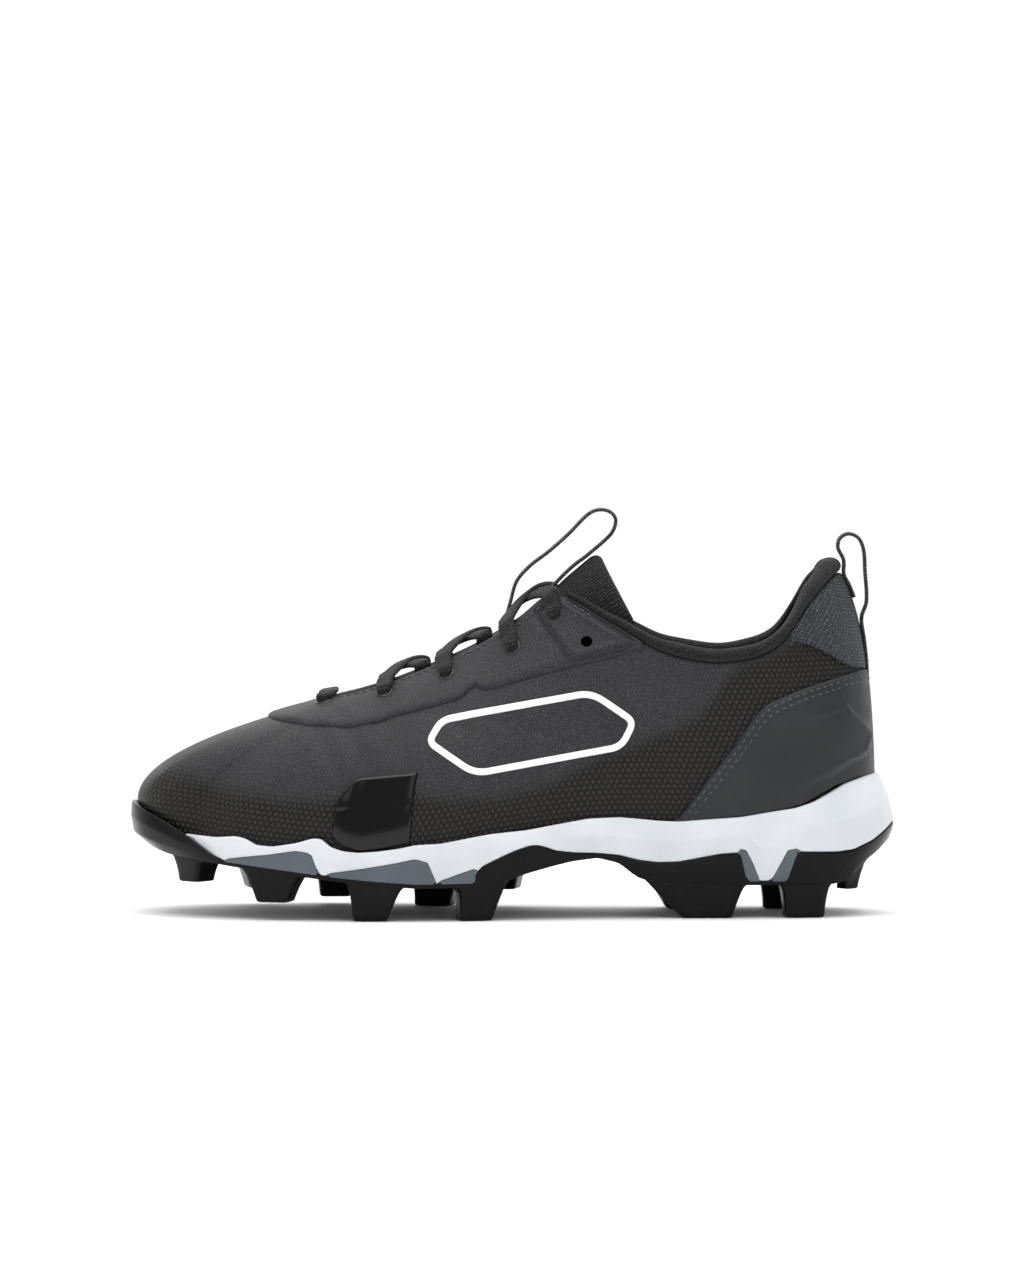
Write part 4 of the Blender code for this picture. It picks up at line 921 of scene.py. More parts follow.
def freeze(piece: bpy.types.Object, modifier: bpy.types.Modifier) -> None:
    """Work a modifier into the piece's own mesh and take it off."""
    ready = piece.evaluated_get(bpy.context.evaluated_depsgraph_get())
    plain = bpy.data.meshes.new_from_object(ready)
    piece.modifiers.remove(modifier)
    piece.data = plain


def settle(piece: bpy.types.Object, nodes: Sequence[str] = (), slot: str = "") -> bpy.types.Object:
    """Put a finished piece in the scene.

    Args:
        piece: The piece, with its place in its mesh.
        nodes: Solids that it stands for.
        slot: Not used.

    Returns:
        The same piece.
    """
    if piece.name not in bpy.context.scene.collection.all_objects:
        bpy.context.scene.collection.objects.link(piece)
    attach(piece, "root")
    if nodes:
        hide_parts(*nodes)
    LOG.info("%s: %d faces", piece.name, len(piece.data.polygons))
    return piece


def linear(code: str) -> tuple[float, float, float, float]:
    """Linear colour of an sRGB hex code."""
    shares = [int(code[k:k + 2], 16) / 255 for k in (1, 3, 5)]
    red, green, blue = (c / 12.92 if c <= 0.04045 else ((c + 0.055) / 1.055)**2.4 for c in shares)
    return red, green, blue, 1.0


def add(tree: bpy.types.NodeTree, kind: str, inputs: Optional[dict] = None,
        **settings: object) -> bpy.types.Node:
    """Add a node.

    Args:
        tree: The tree it goes into.
        kind: The node's type.
        inputs: Values or sockets, by input name or number.
        settings: The node's own settings.

    Returns:
        The node.
    """
    node = tree.nodes.new(kind)
    for name, value in settings.items():
        setattr(node, name, value)
    for name, value in (inputs or {}).items():
        if isinstance(value, bpy.types.NodeSocket):
            tree.links.new(value, node.inputs[name])
        else:
            node.inputs[name].default_value = value
    return node


def maths(tree: bpy.types.NodeTree, operation: str, *values: object) -> bpy.types.NodeSocket:
    """Result of a maths node."""
    return add(tree, "ShaderNodeMath", dict(enumerate(values)), operation=operation).outputs[0]


def spread(tree: bpy.types.NodeTree, value: bpy.types.NodeSocket, low: float, high: float,
           first: float = 0.0, last: float = 1.0) -> bpy.types.NodeSocket:
    """Value moved smoothly from one range to another."""
    node = add(tree, "ShaderNodeMapRange", {
        "Value": value, "From Min": low, "From Max": high, "To Min": first, "To Max": last,
    }, interpolation_type="SMOOTHSTEP")
    return node.outputs[0]


def grain(tree: bpy.types.NodeTree, size_mm: float, detail: float = 2.0,
          stretch: tuple[float, float, float] = (1.0, 1.0, 1.0)) -> bpy.types.NodeSocket:
    """Cloudy pattern of a size, fixed to the piece."""
    place = add(tree, "ShaderNodeTexCoord").outputs["Object"]
    moved = add(tree, "ShaderNodeMapping", {"Vector": place, "Scale": stretch})
    node = add(tree, "ShaderNodeTexNoise", {
        "Vector": moved.outputs[0], "Scale": 1 / (size_mm * MM), "Detail": detail})
    return node.outputs["Fac"]


def tint(tree: bpy.types.NodeTree, share: bpy.types.NodeSocket, first: object,
         second: object) -> bpy.types.NodeSocket:
    """Colour between two colours."""
    node = add(tree, "ShaderNodeMix", {0: share, 6: first, 7: second}, data_type="RGBA")
    return node.outputs[2]


def pattern_place(tree: bpy.types.NodeTree) -> tuple[bpy.types.NodeSocket, bpy.types.NodeSocket]:
    """The piece's own pattern places in millimetres."""
    parts = add(tree, "ShaderNodeSeparateXYZ", {0: add(tree, "ShaderNodeUVMap", uv_map="UVMap")
                                                .outputs[0]})
    return parts.outputs[0], parts.outputs[1]


def domes(tree: bpy.types.NodeTree, pitch_mm: float) -> bpy.types.NodeSocket:
    """Rows of round bumps set like a honeycomb."""
    u, v = pattern_place(tree)
    wave = 4 * math.pi / (math.sqrt(3) * pitch_mm)
    total = maths(tree, "COSINE", maths(tree, "MULTIPLY", v, wave))
    for sign in (1.0, -1.0):
        mixed = maths(tree, "ADD", maths(tree, "MULTIPLY", u, sign * math.sqrt(3) / 2 * wave),
                      maths(tree, "MULTIPLY", v, -wave / 2))
        total = maths(tree, "ADD", total, maths(tree, "COSINE", mixed))
    return total


def weave(tree: bpy.types.NodeTree, pitch_u: float, pitch_v: float) -> bpy.types.NodeSocket:
    """Rows of thread crossings, each row set half a step on from the last."""
    u, v = pattern_place(tree)
    row = maths(tree, "FLOOR", maths(tree, "DIVIDE", v, pitch_v))
    moved = maths(tree, "ADD", u, maths(tree, "MULTIPLY", row, pitch_u / 2))
    across = maths(tree, "ABSOLUTE", maths(tree, "SINE", maths(
        tree, "MULTIPLY", moved, math.pi / pitch_u)))
    along = maths(tree, "ABSOLUTE", maths(tree, "SINE", maths(
        tree, "MULTIPLY", v, math.pi / pitch_v)))
    return maths(tree, "POWER", maths(tree, "MULTIPLY", across, along), 0.6)


def relief(tree: bpy.types.NodeTree, shader: bpy.types.Node, height: bpy.types.NodeSocket,
           depth_mm: float) -> None:
    """Lay fine relief on a shader."""
    bump = add(tree, "ShaderNodeBump", {"Height": height, "Distance": depth_mm * MM,
                                        "Strength": 1.0})
    tree.links.new(bump.outputs[0], shader.inputs["Normal"])


@dataclass(frozen=True)
class Finish:
    """A surface's colours and gloss, and the shader that they start from."""

    name: str
    dark: str
    light: str
    roughness: float
    coat: float = 0.0
    sheen: float = 0.0
    specular: float = 0.5

    def start(self) -> tuple[bpy.types.Material, bpy.types.NodeTree, bpy.types.Node]:
        """New material with its tree and shader."""
        material = bpy.data.materials.new(self.name)
        material.use_nodes = True
        tree = material.node_tree
        shader = tree.nodes["Principled BSDF"]
        shader.inputs["Base Color"].default_value = linear(self.dark)
        shader.inputs["Roughness"].default_value = self.roughness
        shader.inputs["Coat Weight"].default_value = self.coat
        shader.inputs["Coat Roughness"].default_value = 0.08
        shader.inputs["Specular IOR Level"].default_value = self.specular
        shader.inputs["Sheen Weight"].default_value = self.sheen
        shader.inputs["Sheen Roughness"].default_value = 0.5
        material.diffuse_color = linear(self.dark)
        return material, tree, shader

    def finish(self, tree: bpy.types.NodeTree, shader: bpy.types.Node,
               height: bpy.types.NodeSocket, depth_mm: float,
               share: bpy.types.NodeSocket) -> None:
        """Lay the relief and the two colours on the shader.

        Args:
            tree: The material's tree.
            shader: Its shader.
            height: Relief from 0 to 1.
            depth_mm: Depth of the relief.
            share: Where the light colour shows.
        """
        relief(tree, shader, height, depth_mm)
        colour = tint(tree, share, linear(self.dark), linear(self.light))
        tree.links.new(colour, shader.inputs["Base Color"])


@dataclass(frozen=True)
class CoatedSkin(Finish):
    """Coated fabric: fine pale speckle above, rows of dark domes where the mask is 1, painted
    lighter on their crests as highlight and near black between them as shade.
    """

    pitch_mm: float = 2.0
    depth_mm: float = 0.34
    # The two nub colours are shaded and lit copies of one colour: painted shade in the hollows
    # between the domes, painted highlight on their crests.
    nub_hollow_shade: str = "#090807"
    nub_crest_highlight: str = "#2b2724"

    def build(self) -> bpy.types.Material:
        """Fine speckle catches light on the smooth skin; the domes read as a dark honeycomb,
        painted lighter on their crests as highlight and darker in the hollows as shade.
        """
        material, tree, shader = self.start()
        mask = add(tree, "ShaderNodeAttribute", attribute_name="nub").outputs["Fac"]
        speckle = spread(tree, grain(tree, 0.32, 3.0), 0.42, 0.72)
        cloud = spread(tree, grain(tree, 26.0, 2.0), 0.3, 0.7, 0.7, 1.0)
        dome_rise_and_shading = spread(tree, domes(tree, self.pitch_mm), -0.9, 1.9)
        plain = tint(tree, maths(tree, "MULTIPLY", speckle, cloud), linear(self.dark),
                     linear(self.light))
        # Painted light on the domes: the colour follows their height, lighter on the crests and
        # darker in the hollows.
        nub_lit_and_shaded = tint(tree, dome_rise_and_shading, linear(self.nub_hollow_shade), linear(self.nub_crest_highlight))
        tree.links.new(tint(tree, mask, plain, nub_lit_and_shaded), shader.inputs["Base Color"])
        raised = maths(tree, "MULTIPLY", dome_rise_and_shading, mask)
        fine = maths(tree, "MULTIPLY", speckle, 0.10)
        relief(tree, shader, maths(tree, "ADD", raised, fine), self.depth_mm)
        rough = spread(tree, mask, 0.0, 1.0, self.roughness, self.roughness - 0.16)
        tree.links.new(rough, shader.inputs["Roughness"])
        return material


@dataclass(frozen=True)
class Woven(Finish):
    """Woven or knitted yarn: rounded thread crossings with pale flecks painted on their tops as
    highlight and dark gaps between them as painted shade.
    """

    pitch_u: float = 0.8
    pitch_v: float = 0.8
    depth_mm: float = 0.18

    def build(self) -> bpy.types.Material:
        """The colour is painted lighter on the thread crossings' tops as highlight, broken up by
        fine noise, and dark between them as shade, as light falls on cloth.
        """
        material, tree, shader = self.start()
        cross = weave(tree, self.pitch_u, self.pitch_v)
        fuzz = spread(tree, grain(tree, 0.5, 3.0), 0.35, 0.7)
        # Painted highlight: the light colour follows the crossings' height, so their tops read lit
        # and the gaps shaded.
        share = maths(tree, "MULTIPLY", maths(tree, "POWER", cross, 2.0), fuzz)
        self.finish(tree, shader, maths(tree, "ADD", cross, maths(tree, "MULTIPLY", fuzz, 0.25)),
                    self.depth_mm, share)
        return material


@dataclass(frozen=True)
class Moulded(Finish):
    """Moulded rubber, foam or film: a faint grain that softens its highlights."""

    grain_mm: float = 0.8
    depth_mm: float = 0.02
    variation: float = 0.5

    def build(self) -> bpy.types.Material:
        """A faint grain keeps large faces from looking like glass."""
        material, tree, shader = self.start()
        fine = spread(tree, grain(tree, self.grain_mm, 3.0), 0.3, 0.7)
        broad = spread(tree, grain(tree, 18.0, 2.0), 0.3, 0.7, 0.0, self.variation)
        self.finish(tree, shader, fine, self.depth_mm, broad)
        rough = spread(tree, grain(tree, 6.0, 2.0), 0.3, 0.7, self.roughness * 0.9,
                       self.roughness * 1.15)
        tree.links.new(rough, shader.inputs["Roughness"])
        return material


@dataclass(frozen=True)
class Wardrobe:
    """All of the shoe's finishes."""

    skin: CoatedSkin = CoatedSkin("coated_skin", "#1f1f21", "#4a4a4c", 0.62, specular=0.25)
    counter: Moulded = Moulded("counter_film", "#202225", "#2b2d31", 0.46, specular=0.3,
                               grain_mm=0.35, depth_mm=0.03)
    gloss: Moulded = Moulded("gloss_film", "#030303", "#050505", 0.12, specular=0.22,
                             coat=0.15, depth_mm=0.004)
    foam: Moulded = Moulded("midsole_foam", "#c8ccd1", "#dadde1", 0.55, specular=0.3,
                            grain_mm=0.9, depth_mm=0.03)
    insert: Moulded = Moulded("insert_rubber", "#4d555c", "#5b636a", 0.42, specular=0.3)
    rubber: Moulded = Moulded("outsole_rubber", "#080808", "#0e0e0d", 0.28, specular=0.13,
                              grain_mm=0.6, depth_mm=0.012)
    # For the woven finishes below, the first colour is the painted shade between the threads and
    # the second the painted highlight on their tops.
    knit: Woven = Woven("collar_knit", "#050506", "#454547", 0.85, sheen=0.06, specular=0.25,
                        pitch_u=0.9, pitch_v=0.8, depth_mm=0.22)
    lace: Woven = Woven("lace_weave", "#040405", "#434346", 0.75, sheen=0.05, specular=0.25,
                        pitch_u=1.0, pitch_v=0.8, depth_mm=0.22)
    tape: Woven = Woven("tape_weave", "#141416", "#6c6d71", 0.7, sheen=0.05, specular=0.3,
                        pitch_u=1.1, pitch_v=1.0, depth_mm=0.2)
    tab: Woven = Woven("tab_weave", "#1a1c20", "#62676e", 0.7, sheen=0.05, specular=0.3,
                       pitch_u=1.3, pitch_v=1.1, depth_mm=0.25)
    lining: Woven = Woven("brushed_lining", "#101012", "#242427", 0.9, sheen=0.1, specular=0.2,
                          pitch_u=1.4, pitch_v=1.2, depth_mm=0.12)
    thread: Moulded = Moulded("thread", "#3c3d40", "#5a5b5e", 0.6, grain_mm=0.3, depth_mm=0.03)
    trim: Moulded = Moulded("white_film", "#eceef0", "#f6f7f8", 0.4, depth_mm=0.006)
    # Near-black lip colour, also laid on the holes' cut walls as painted shade.
    lip_and_hole_shade: Moulded = Moulded("eyelet_lip_and_hole_shade", "#0d0d0e", "#151516", 0.4)


def rounded(offsets: Sequence[np.ndarray], heights: Sequence[np.ndarray], radius: float,
            steps: int = 3) -> tuple[np.ndarray, np.ndarray]:
    """Profile with its corners rounded off.

    Args:
        offsets: Outward place of each corner, one array each.
        heights: Height of each corner.
        radius: How far back from a corner the rounding starts.
        steps: Points laid along each rounding, less one.

    Returns:
        Offsets and heights of all points, corners first.
    """
    corners = np.stack([np.stack(np.broadcast_arrays(*offsets)),
                        np.stack(np.broadcast_arrays(*heights))], axis=-1)
    made = [corners[0]]
    for i in range(1, len(corners) - 1):
        here, back, ahead = corners[i], corners[i - 1] - corners[i], corners[i + 1] - corners[i]
        spans = []
        for leg in (back, ahead):
            size = np.linalg.norm(leg, axis=-1, keepdims=True)
            spans.append(leg / np.maximum(size, 1e-9) * np.minimum(radius, 0.45 * size))
        for t in np.linspace(0, 1, steps + 1):
            made.append(here + spans[0] * (1 - t)**2 + spans[1] * t * t)
    made.append(corners[-1])
    joined = np.stack(made)
    return joined[..., 0], joined[..., 1]


@dataclass
class Sole:
    """Rubber tray with lugs, the foam cup in it and the pieces between them.

    The middle faces start at "under" or "foot" inside the outline's offset.
    """

    last: Last
    wardrobe: Wardrobe
    step: float = 1.5 * MM
    corner: float = 0.7 * MM
    under: float = 4.0 * MM
    foot: float = 3.0 * MM
    liner_thick: float = 3.2 * MM
    liner_corner: float = 1.6 * MM
    insert_corner: float = 0.35 * MM
    lug_power: float = 2 / 7
    lug_inset: float = 0.15 * MM
    lug_sink: float = 0.5 * MM

    def stations(self) -> np.ndarray:
        """Shares of the length, evenly spaced along the outline."""
        reach, points, _ = self.last.rails[OUTER]
        run = run_of(points)
        count = int(run[-1] / self.step)
        return np.interp(np.linspace(0, run[-1], count), run, reach / LENGTH)

    def section_rings(self, profile: Profile, along: np.ndarray,
                      across: int = 7) -> np.ndarray:
        """Closed rings across the shoe, one at each station.

        Args:
            profile: Gives offsets and heights of one side, from the underside to the top.
            along: Stations.
            across: Points laid over the middle of each face.

        Returns:
            Points, stations by ring.
        """
        offsets, heights = profile(along)
        sides = []
        for side in Flank:
            sides.append(np.stack([self.last.edge(side, along, offset, height)
                                   for offset, height in zip(offsets, heights)], axis=1))
        outer, inner = sides
        shares = np.linspace(0, 1, across + 2)[1:-1, None]
        over = outer[:, -1:] * (1 - shares) + inner[:, -1:] * shares
        under = inner[:, :1] * (1 - shares) + outer[:, :1] * shares
        return np.concatenate([outer, over, inner[:, ::-1], under], axis=1)

    def plate_top(self, along: np.ndarray) -> np.ndarray:
        """Height of the rubber plate's upper face."""
        last = self.last
        return np.minimum(last.plate_low(along) + PLATE, last.rubber_rim(along) - CLEARANCE / 3)

    def rubber_profile(self, along: np.ndarray) -> tuple[np.ndarray, np.ndarray]:
        """Rubber tray: underside edge, rounded side, rim and the tray's inside."""
        last = self.last
        low, rim, floor = last.plate_low(along), last.rubber_rim(along), self.plate_top(along)
        heights = [low, low, low + 0.3 * (rim - low), low + 0.65 * (rim - low), rim]
        offsets = [last.wall(along, h) for h in heights]
        offsets[0] = offsets[0] - self.under
        inside = [rim, floor + TRAY_BEND * (rim - floor), floor]
        offsets += [last.wall(along, h) - RUBBER_LIP for h in inside]
        offsets.append(offsets[-1] - self.foot)
        return rounded(offsets, [*heights, *inside, floor], self.corner)

    def foam_profile(self, along: np.ndarray) -> tuple[np.ndarray, np.ndarray]:
        """Foam cup: set back inside the rubber, out over it, up to its rim and down inside."""
        last = self.last
        floor, rubber, rim = self.plate_top(along), last.rubber_rim(along), last.foam_top(along)
        covered = np.full_like(along, -1.0)
        for rows in INSERTS.values():
            inside = (along >= rows[0].along) & (along <= rows[-1].along)
            covered = np.where(inside, level(rows, along) * SOLE_HEIGHT, covered)
        step = np.minimum(np.maximum(covered, rubber) + CLEARANCE * 0.5, rim - 2 * CLEARANCE)
        recess = np.maximum(RUBBER_LIP + CLEARANCE, last.bumper_recess(along))
        bed = last.footbed(along)
        middle = (step + rim) / 2
        low = np.minimum(floor + CLEARANCE, step - CLEARANCE)
        heights = [low, low, step, step, middle, rim, rim, bed, bed]
        face = [last.wall(along, h) - last.bumper_recess(along) for h in (step, middle, rim)]
        inside = last.foam_inside(along)
        back = last.wall(along, low) - recess
        offsets = [back - self.foot, back, last.wall(along, step) - recess, *face, inside, inside,
                   inside - self.foot]
        return rounded(offsets, heights, self.corner)

    def make_tray(self) -> None:
        """Black rubber tray and its lugs, as one piece."""
        shell = Shell()
        shell.grid(self.section_rings(self.rubber_profile, self.stations()), wrap_columns=True)
        for lug in LUGS:
            shell.grid(self.lug_rings(lug), wrap_columns=True, caps=True)
        shell.build("outsole_rubber", [self.wardrobe.rubber.build()], ["outsole"],
                    "outsole_rubber", sharp_deg=35, weld=WELD)

    def lug_rings(self, lug: Lug, around: int = 48) -> np.ndarray:
        """Tapered block with a flared root, rounded corners and a chamfered tip.

        Args:
            lug: Its place and size.
            around: Points in each ring.

        Returns:
            Points, rings from the root to the tip.
        """
        s, d = (squared(wave, self.lug_power) for wave in circle(around))
        last, depth = self.last, lug.depth * LUG_DEPTH
        rings = []
        for t, grow_mm in LUG_FLARE:
            rear = lug.root_rear + t * (lug.tip_rear - lug.root_rear)
            front = lug.root_front + t * (lug.tip_front - lug.root_front)
            half = (front - rear) / 2 + grow_mm * MM / LENGTH
            along = (front + rear) / 2 + s * half
            low = last.plate_low(along)
            outer = last.wall(along, low) - self.lug_inset - LUG_DRAFT * t
            inner = outer - depth + 2 * LUG_DRAFT * t * (depth > LUG_DEPTH / 2)
            middle, reach = (outer + inner) / 2, (outer - inner) / 2 + min(grow_mm, 0) * MM
            root = last.plate_low(np.clip(along, 0, 1)) + self.lug_sink
            height = root + t * (lug.tip * SOLE_HEIGHT - root)
            rings.append(last.edge(lug.side, along, middle + d * reach, height))
        return np.stack(rings)

    def make_foam(self) -> None:
        """White foam cup."""
        loft("midsole_cup", self.section_rings(self.foam_profile, self.stations()),
             self.wardrobe.foam.build(), ["midsole"], "midsole_foam", caps=False, weld=WELD)

    def make_inserts(self) -> None:
        """Grey rubber pieces between the tray and the foam."""
        finish, last = self.wardrobe.insert.build(), self.last
        for side in Flank:
            for name, rows in INSERTS.items():
                count = max(int((rows[-1].along - rows[0].along) * LENGTH / MM), 12)
                along = np.linspace(rows[0].along, rows[-1].along, count)
                low = last.rubber_rim(along) - 0.2 * MM
                top = np.maximum(level(rows, along, 0.0012) * SOLE_HEIGHT, low + 0.5 * MM)
                heights = [(low + top) / 2, top, top, low, low, (low + top) / 2]
                face = last.wall(along, (low + top) / 2) - 0.05 * MM
                offsets = [face, last.wall(along, top), last.wall(along, top) - RUBBER_LIP,
                           last.wall(along, low) - RUBBER_LIP, last.wall(along, low), face]
                ring = rounded(offsets, heights, self.insert_corner)
                points = np.stack([last.edge(side, along, o, h) for o, h in zip(*ring)], axis=1)
                node = f"insert_{name}_{side.name.lower()}"
                loft(f"{node}_rubber", points[:, :-1], finish, [node], "insert_rubber")

    def make_liner(self) -> None:
        """Cushioned sock liner on the footbed."""
        rings = self.section_rings(self.liner_profile, self.stations()[::2], across=15)
        piece = loft("sock_liner", rings, self.wardrobe.lining.build(), ["insole"],
                     "lining_fabric", caps=False, weld=WELD)

    def liner_profile(self, along: np.ndarray) -> tuple[np.ndarray, np.ndarray]:
        """Sock liner: low edge, rounded side and top."""
        bed = self.last.footbed(along) + CLEARANCE
        edge = self.last.foam_inside(along) - 3 * SEAT_GAP - WALL
        top = bed + self.liner_thick
        return rounded([edge - self.foot, edge, edge, edge - self.under],
                       [bed, bed, top, top], self.liner_corner)

    def build(self) -> None:
        """Make every piece of the sole."""
        self.make_tray()
        self.make_foam()
        self.make_inserts()
        self.make_liner()


@dataclass
class Upper:
    """The coated shell with its overlays, collar and stitches."""

    last: Last
    wardrobe: Wardrobe
    around: int = 230
    rows: int = 88
    lift: float = 1.3 * MM
    counter_lift: float = 1.5 * MM
    patch_lift: float = 1.1 * MM
    end_round: float = 1.2 * MM
    tuck: float = 0.5 * MM
    toe_spacing: float = 0.055
    heel_spacing: float = 0.03
    roll_spacing: float = 0.028
    cover_rows: int = 46
    back_rows: int = 14
    edge_crowding: float = 0.16
    hole_radius: float = 1.9 * MM
    hole_reach: float = 6.0 * MM
    stitch_lift: float = 1.55 * MM
    eyestay_seam: float = 2.6 * MM
    mark_corner_mm: float = 5.0
    roll_wide: float = 2.6 * MM
    roll_high: float = 2.0 * MM
    roll_sink: float = 0.5 * MM

    def __post_init__(self) -> None:
        """The upper's own finish, shared by the shell and the eyestay."""
        self.skin_finish = self.wardrobe.skin.build()

    def places(self) -> tuple[np.ndarray, np.ndarray]:
        """Sides and columns once round the shoe from the toe over the outer side."""
        end = len(COLUMNS) - 1
        outer = np.linspace(0, end, self.around + 1)
        inner = np.linspace(end, 0, self.around + 1)[1:-1]
        sides = np.concatenate([np.ones_like(outer), -np.ones_like(inner)])
        return sides, np.concatenate([outer, inner])

    def by_side(self, sides: np.ndarray, u: np.ndarray, w: np.ndarray, lift: np.ndarray,
                folds: bool = True) -> np.ndarray:
        """Skin points for columns of both sides, w and lift shaped rows by columns."""
        w, lift = np.broadcast_arrays(w, lift)
        made = np.empty((*w.shape, 3))
        for side, chosen in halves(sides):
            if chosen.any():
                made[:, chosen] = self.last.skin(side, u[chosen], w[:, chosen],
                                                 lift[:, chosen], folds)
        return made

    def make_shell(self) -> bpy.types.Object:
        """Hollow upper: coated outside, brushed lining inside."""
        sides, u = self.places()
        collar = ramp(TOP_CORNER, TOP_CORNER + 2, u)

        def thickness(w: np.ndarray) -> np.ndarray:
            """Wall thickness, padded at the collar."""
            return WALL + (COLLAR_WALL - WALL) * collar * ramp(0.45, 0.85, w)

        span = np.linalg.norm(self.by_side(sides, u, np.full((1, len(u)), 1.0), 0.0)[0]
                              - self.by_side(sides, u, np.full((1, len(u)), 0.8), 0.0)[0],
                              axis=1) / 0.2
        margin = thickness(np.ones_like(u)) / 2 / span
        rise = np.linspace(0, 1, self.rows)[:, None] * (1 - margin)
        outer = self.by_side(sides, u, rise, 0.0)
        rim = []
        for turn in np.linspace(0, math.pi, 7)[1:-1]:
            w = (1 - margin + margin * math.sin(turn))[None]
            rim.append(self.by_side(sides, u, w, -thickness(w) / 2 * (1 - math.cos(turn))))
        inner_rise = np.linspace(1, 0, 24)[:, None] * (1 - margin)
        inner = self.by_side(sides, u, inner_rise, -thickness(inner_rise), folds=False)
        seats = []
        for inset in (0.0, WALL):
            seat = np.empty((len(u), 3))
            for side, chosen in halves(sides):
                low, _, normal = self.last.seat(side, u[chosen])
                seat[chosen] = low
                seat[chosen, :2] -= normal * inset
            seats.append(seat[None])
        points = np.concatenate([seats[0], outer, *rim, inner, seats[1]])
        over = level(NUB_EDGE, share_along(points), 0.008) * UPPER_HEIGHT - points[..., 2]
        nub = smooth_step(-3.0 * MM, 5.0 * MM, over)
        lining_from = 1 + self.rows + 3
        slots = [0 if row < lining_from else 1 for row in range(len(points))]
        shell = Shell()
        shell.grid(points, uv=self.mapped(points), wrap_rows=True, wrap_columns=True,
                   row_slots=slots, nub=nub)
        return shell.build("upper_shell", [self.skin_finish, self.wardrobe.lining.build()],
                           sharp_deg=60)

    def mapped(self, points: np.ndarray) -> np.ndarray:
        """Pattern places that follow the band round the foot without a break at the toe."""
        band = points[1 + int(self.rows * 0.2)]
        run = run_of(np.concatenate([band, band[:1]])) / MM
        period = 2 * self.wardrobe.skin.pitch_mm
        run *= round(run[-1] / period) * period / run[-1]
        up = np.linalg.norm(np.roll(points, -1, 0) - points, axis=2)
        climb = np.concatenate([np.zeros((1, points.shape[1])), np.cumsum(up, axis=0)]) / MM
        climb = np.concatenate([climb, climb[:, :1]], axis=1)
        return np.stack([np.broadcast_to(run, climb.shape), climb], axis=-1)

    def overlay(self, name: str, finish: bpy.types.Material, columns: tuple[np.ndarray, np.ndarray],
                low: np.ndarray, high: np.ndarray, lift: float, edges: tuple[float, float],
                extra: Optional[Relief] = None, folds: bool = False, nodes: Sequence[str] = (),
                slot: str = "") -> bpy.types.Object:
        """Pillow-edged cover over part of the shell.

        Args:
            name: The cover's name.
            finish: Its material.
            columns: Side and place of each column.
            low: Lower edge of each column.
            high: Upper edge of each column.
            lift: Height of its face over the skin.
            edges: How broadly the lower and the upper edge are rounded.
            extra: Adds relief at points of the skin.
            folds: Whether the creases are laid in.
            nodes: Solids that it stands for.
            slot: The record's material slot.

        Returns:
            The cover.
        """
        sides, u = columns
        low, high = np.broadcast_to(low, u.shape), np.broadcast_to(high, u.shape)
        t = np.linspace(0, 1, self.cover_rows)
        t = (t - self.edge_crowding * np.sin(2 * math.pi * t))[:, None]
        w = low + (high - low) * t
        base = self.by_side(sides, u, w, 0.0, folds)
        run = np.concatenate([np.zeros((1, len(u))), np.cumsum(
            np.linalg.norm(np.diff(base, axis=0), axis=2), axis=0)])
        along = run_of(base[len(t) // 2])
        ends = np.minimum(along, along[-1] - along)[None]
        raised = np.ones_like(run)
        for gap, radius in ((run, edges[0]), (run[-1] - run, edges[1]), (ends, self.end_round)):
            share = 1 - np.clip(gap / radius, 0, 1)
            raised = raised * np.sqrt(np.clip(1 - share**2, 0, 1))
        height = lift * raised
        if extra is not None:
            height = height + extra(base) * raised
        top = self.by_side(sides, u, w, height, folds)
        back_w = low + (high - low) * np.linspace(1, 0, self.back_rows)[:, None]
        back = self.by_side(sides, u, back_w, -self.tuck, folds)
        ring = np.concatenate([top, back]).transpose(1, 0, 2)
        climb = np.concatenate([run, run[::-1][:self.back_rows], run[:1]]).T / MM
        climb = np.concatenate([climb, climb[-1:]])
        run_uv = np.concatenate([along, along[-1:]])[:, None] / MM
        uv = np.stack([np.broadcast_to(run_uv, climb.shape), climb], axis=-1)
        return loft(name, ring, finish, nodes, slot, uv, sharp_deg=60)

    def span(self, limit: float, over_toe: bool, spacing: float) -> tuple[np.ndarray, np.ndarray]:
        """Columns from one side to the other over the toe or round the heel."""
        end = 0.0 if over_toe else float(len(COLUMNS) - 1)
        count = int(abs(end - limit) / spacing) + 2
        half = np.linspace(limit, end, count)
        first = INNER if over_toe else OUTER
        sides = np.concatenate([np.full(count, int(first)), np.full(count - 1, -int(first))])
        return sides, np.concatenate([half, half[::-1][1:]])

    def edge_shares(self, sides: np.ndarray, u: np.ndarray,
                    edge: Sequence[Edge]) -> np.ndarray:
        """Where each column crosses an edge."""
        made = np.empty_like(u)
        for side, chosen in halves(sides):
            made[chosen] = self.last.crossing(side, u[chosen], edge)
        return made

    @staticmethod
    def lozenge(points: np.ndarray) -> np.ndarray:
        """Raised lozenge on the heel counter, firm at its rear and fading to the front."""
        inside = depth_inside(points, LOZENGE)
        fade = 1 - smooth_step(*LOZENGE_FADES, flat_mm(points)[0])
        rim = np.exp(-((inside - 1.2) / 0.8)**2)
        return fade * (1.3 * smooth_step(-0.6, 1.4, inside) + 0.4 * rim) * MM

    @staticmethod
    def stay_panel(points: np.ndarray) -> np.ndarray:
        """Raised three-sided panel with a rim and a groove round it, behind the top eyelets."""
        inside = depth_inside(points, STAY_PANEL)
        rim = np.exp(-((inside - 1.0) / 0.8)**2)
        groove = np.exp(-((inside + 0.9) / 0.9)**2)
        return (0.4 * smooth_step(-0.4, 0.8, inside) + 0.5 * rim - 1.1 * groove) * MM

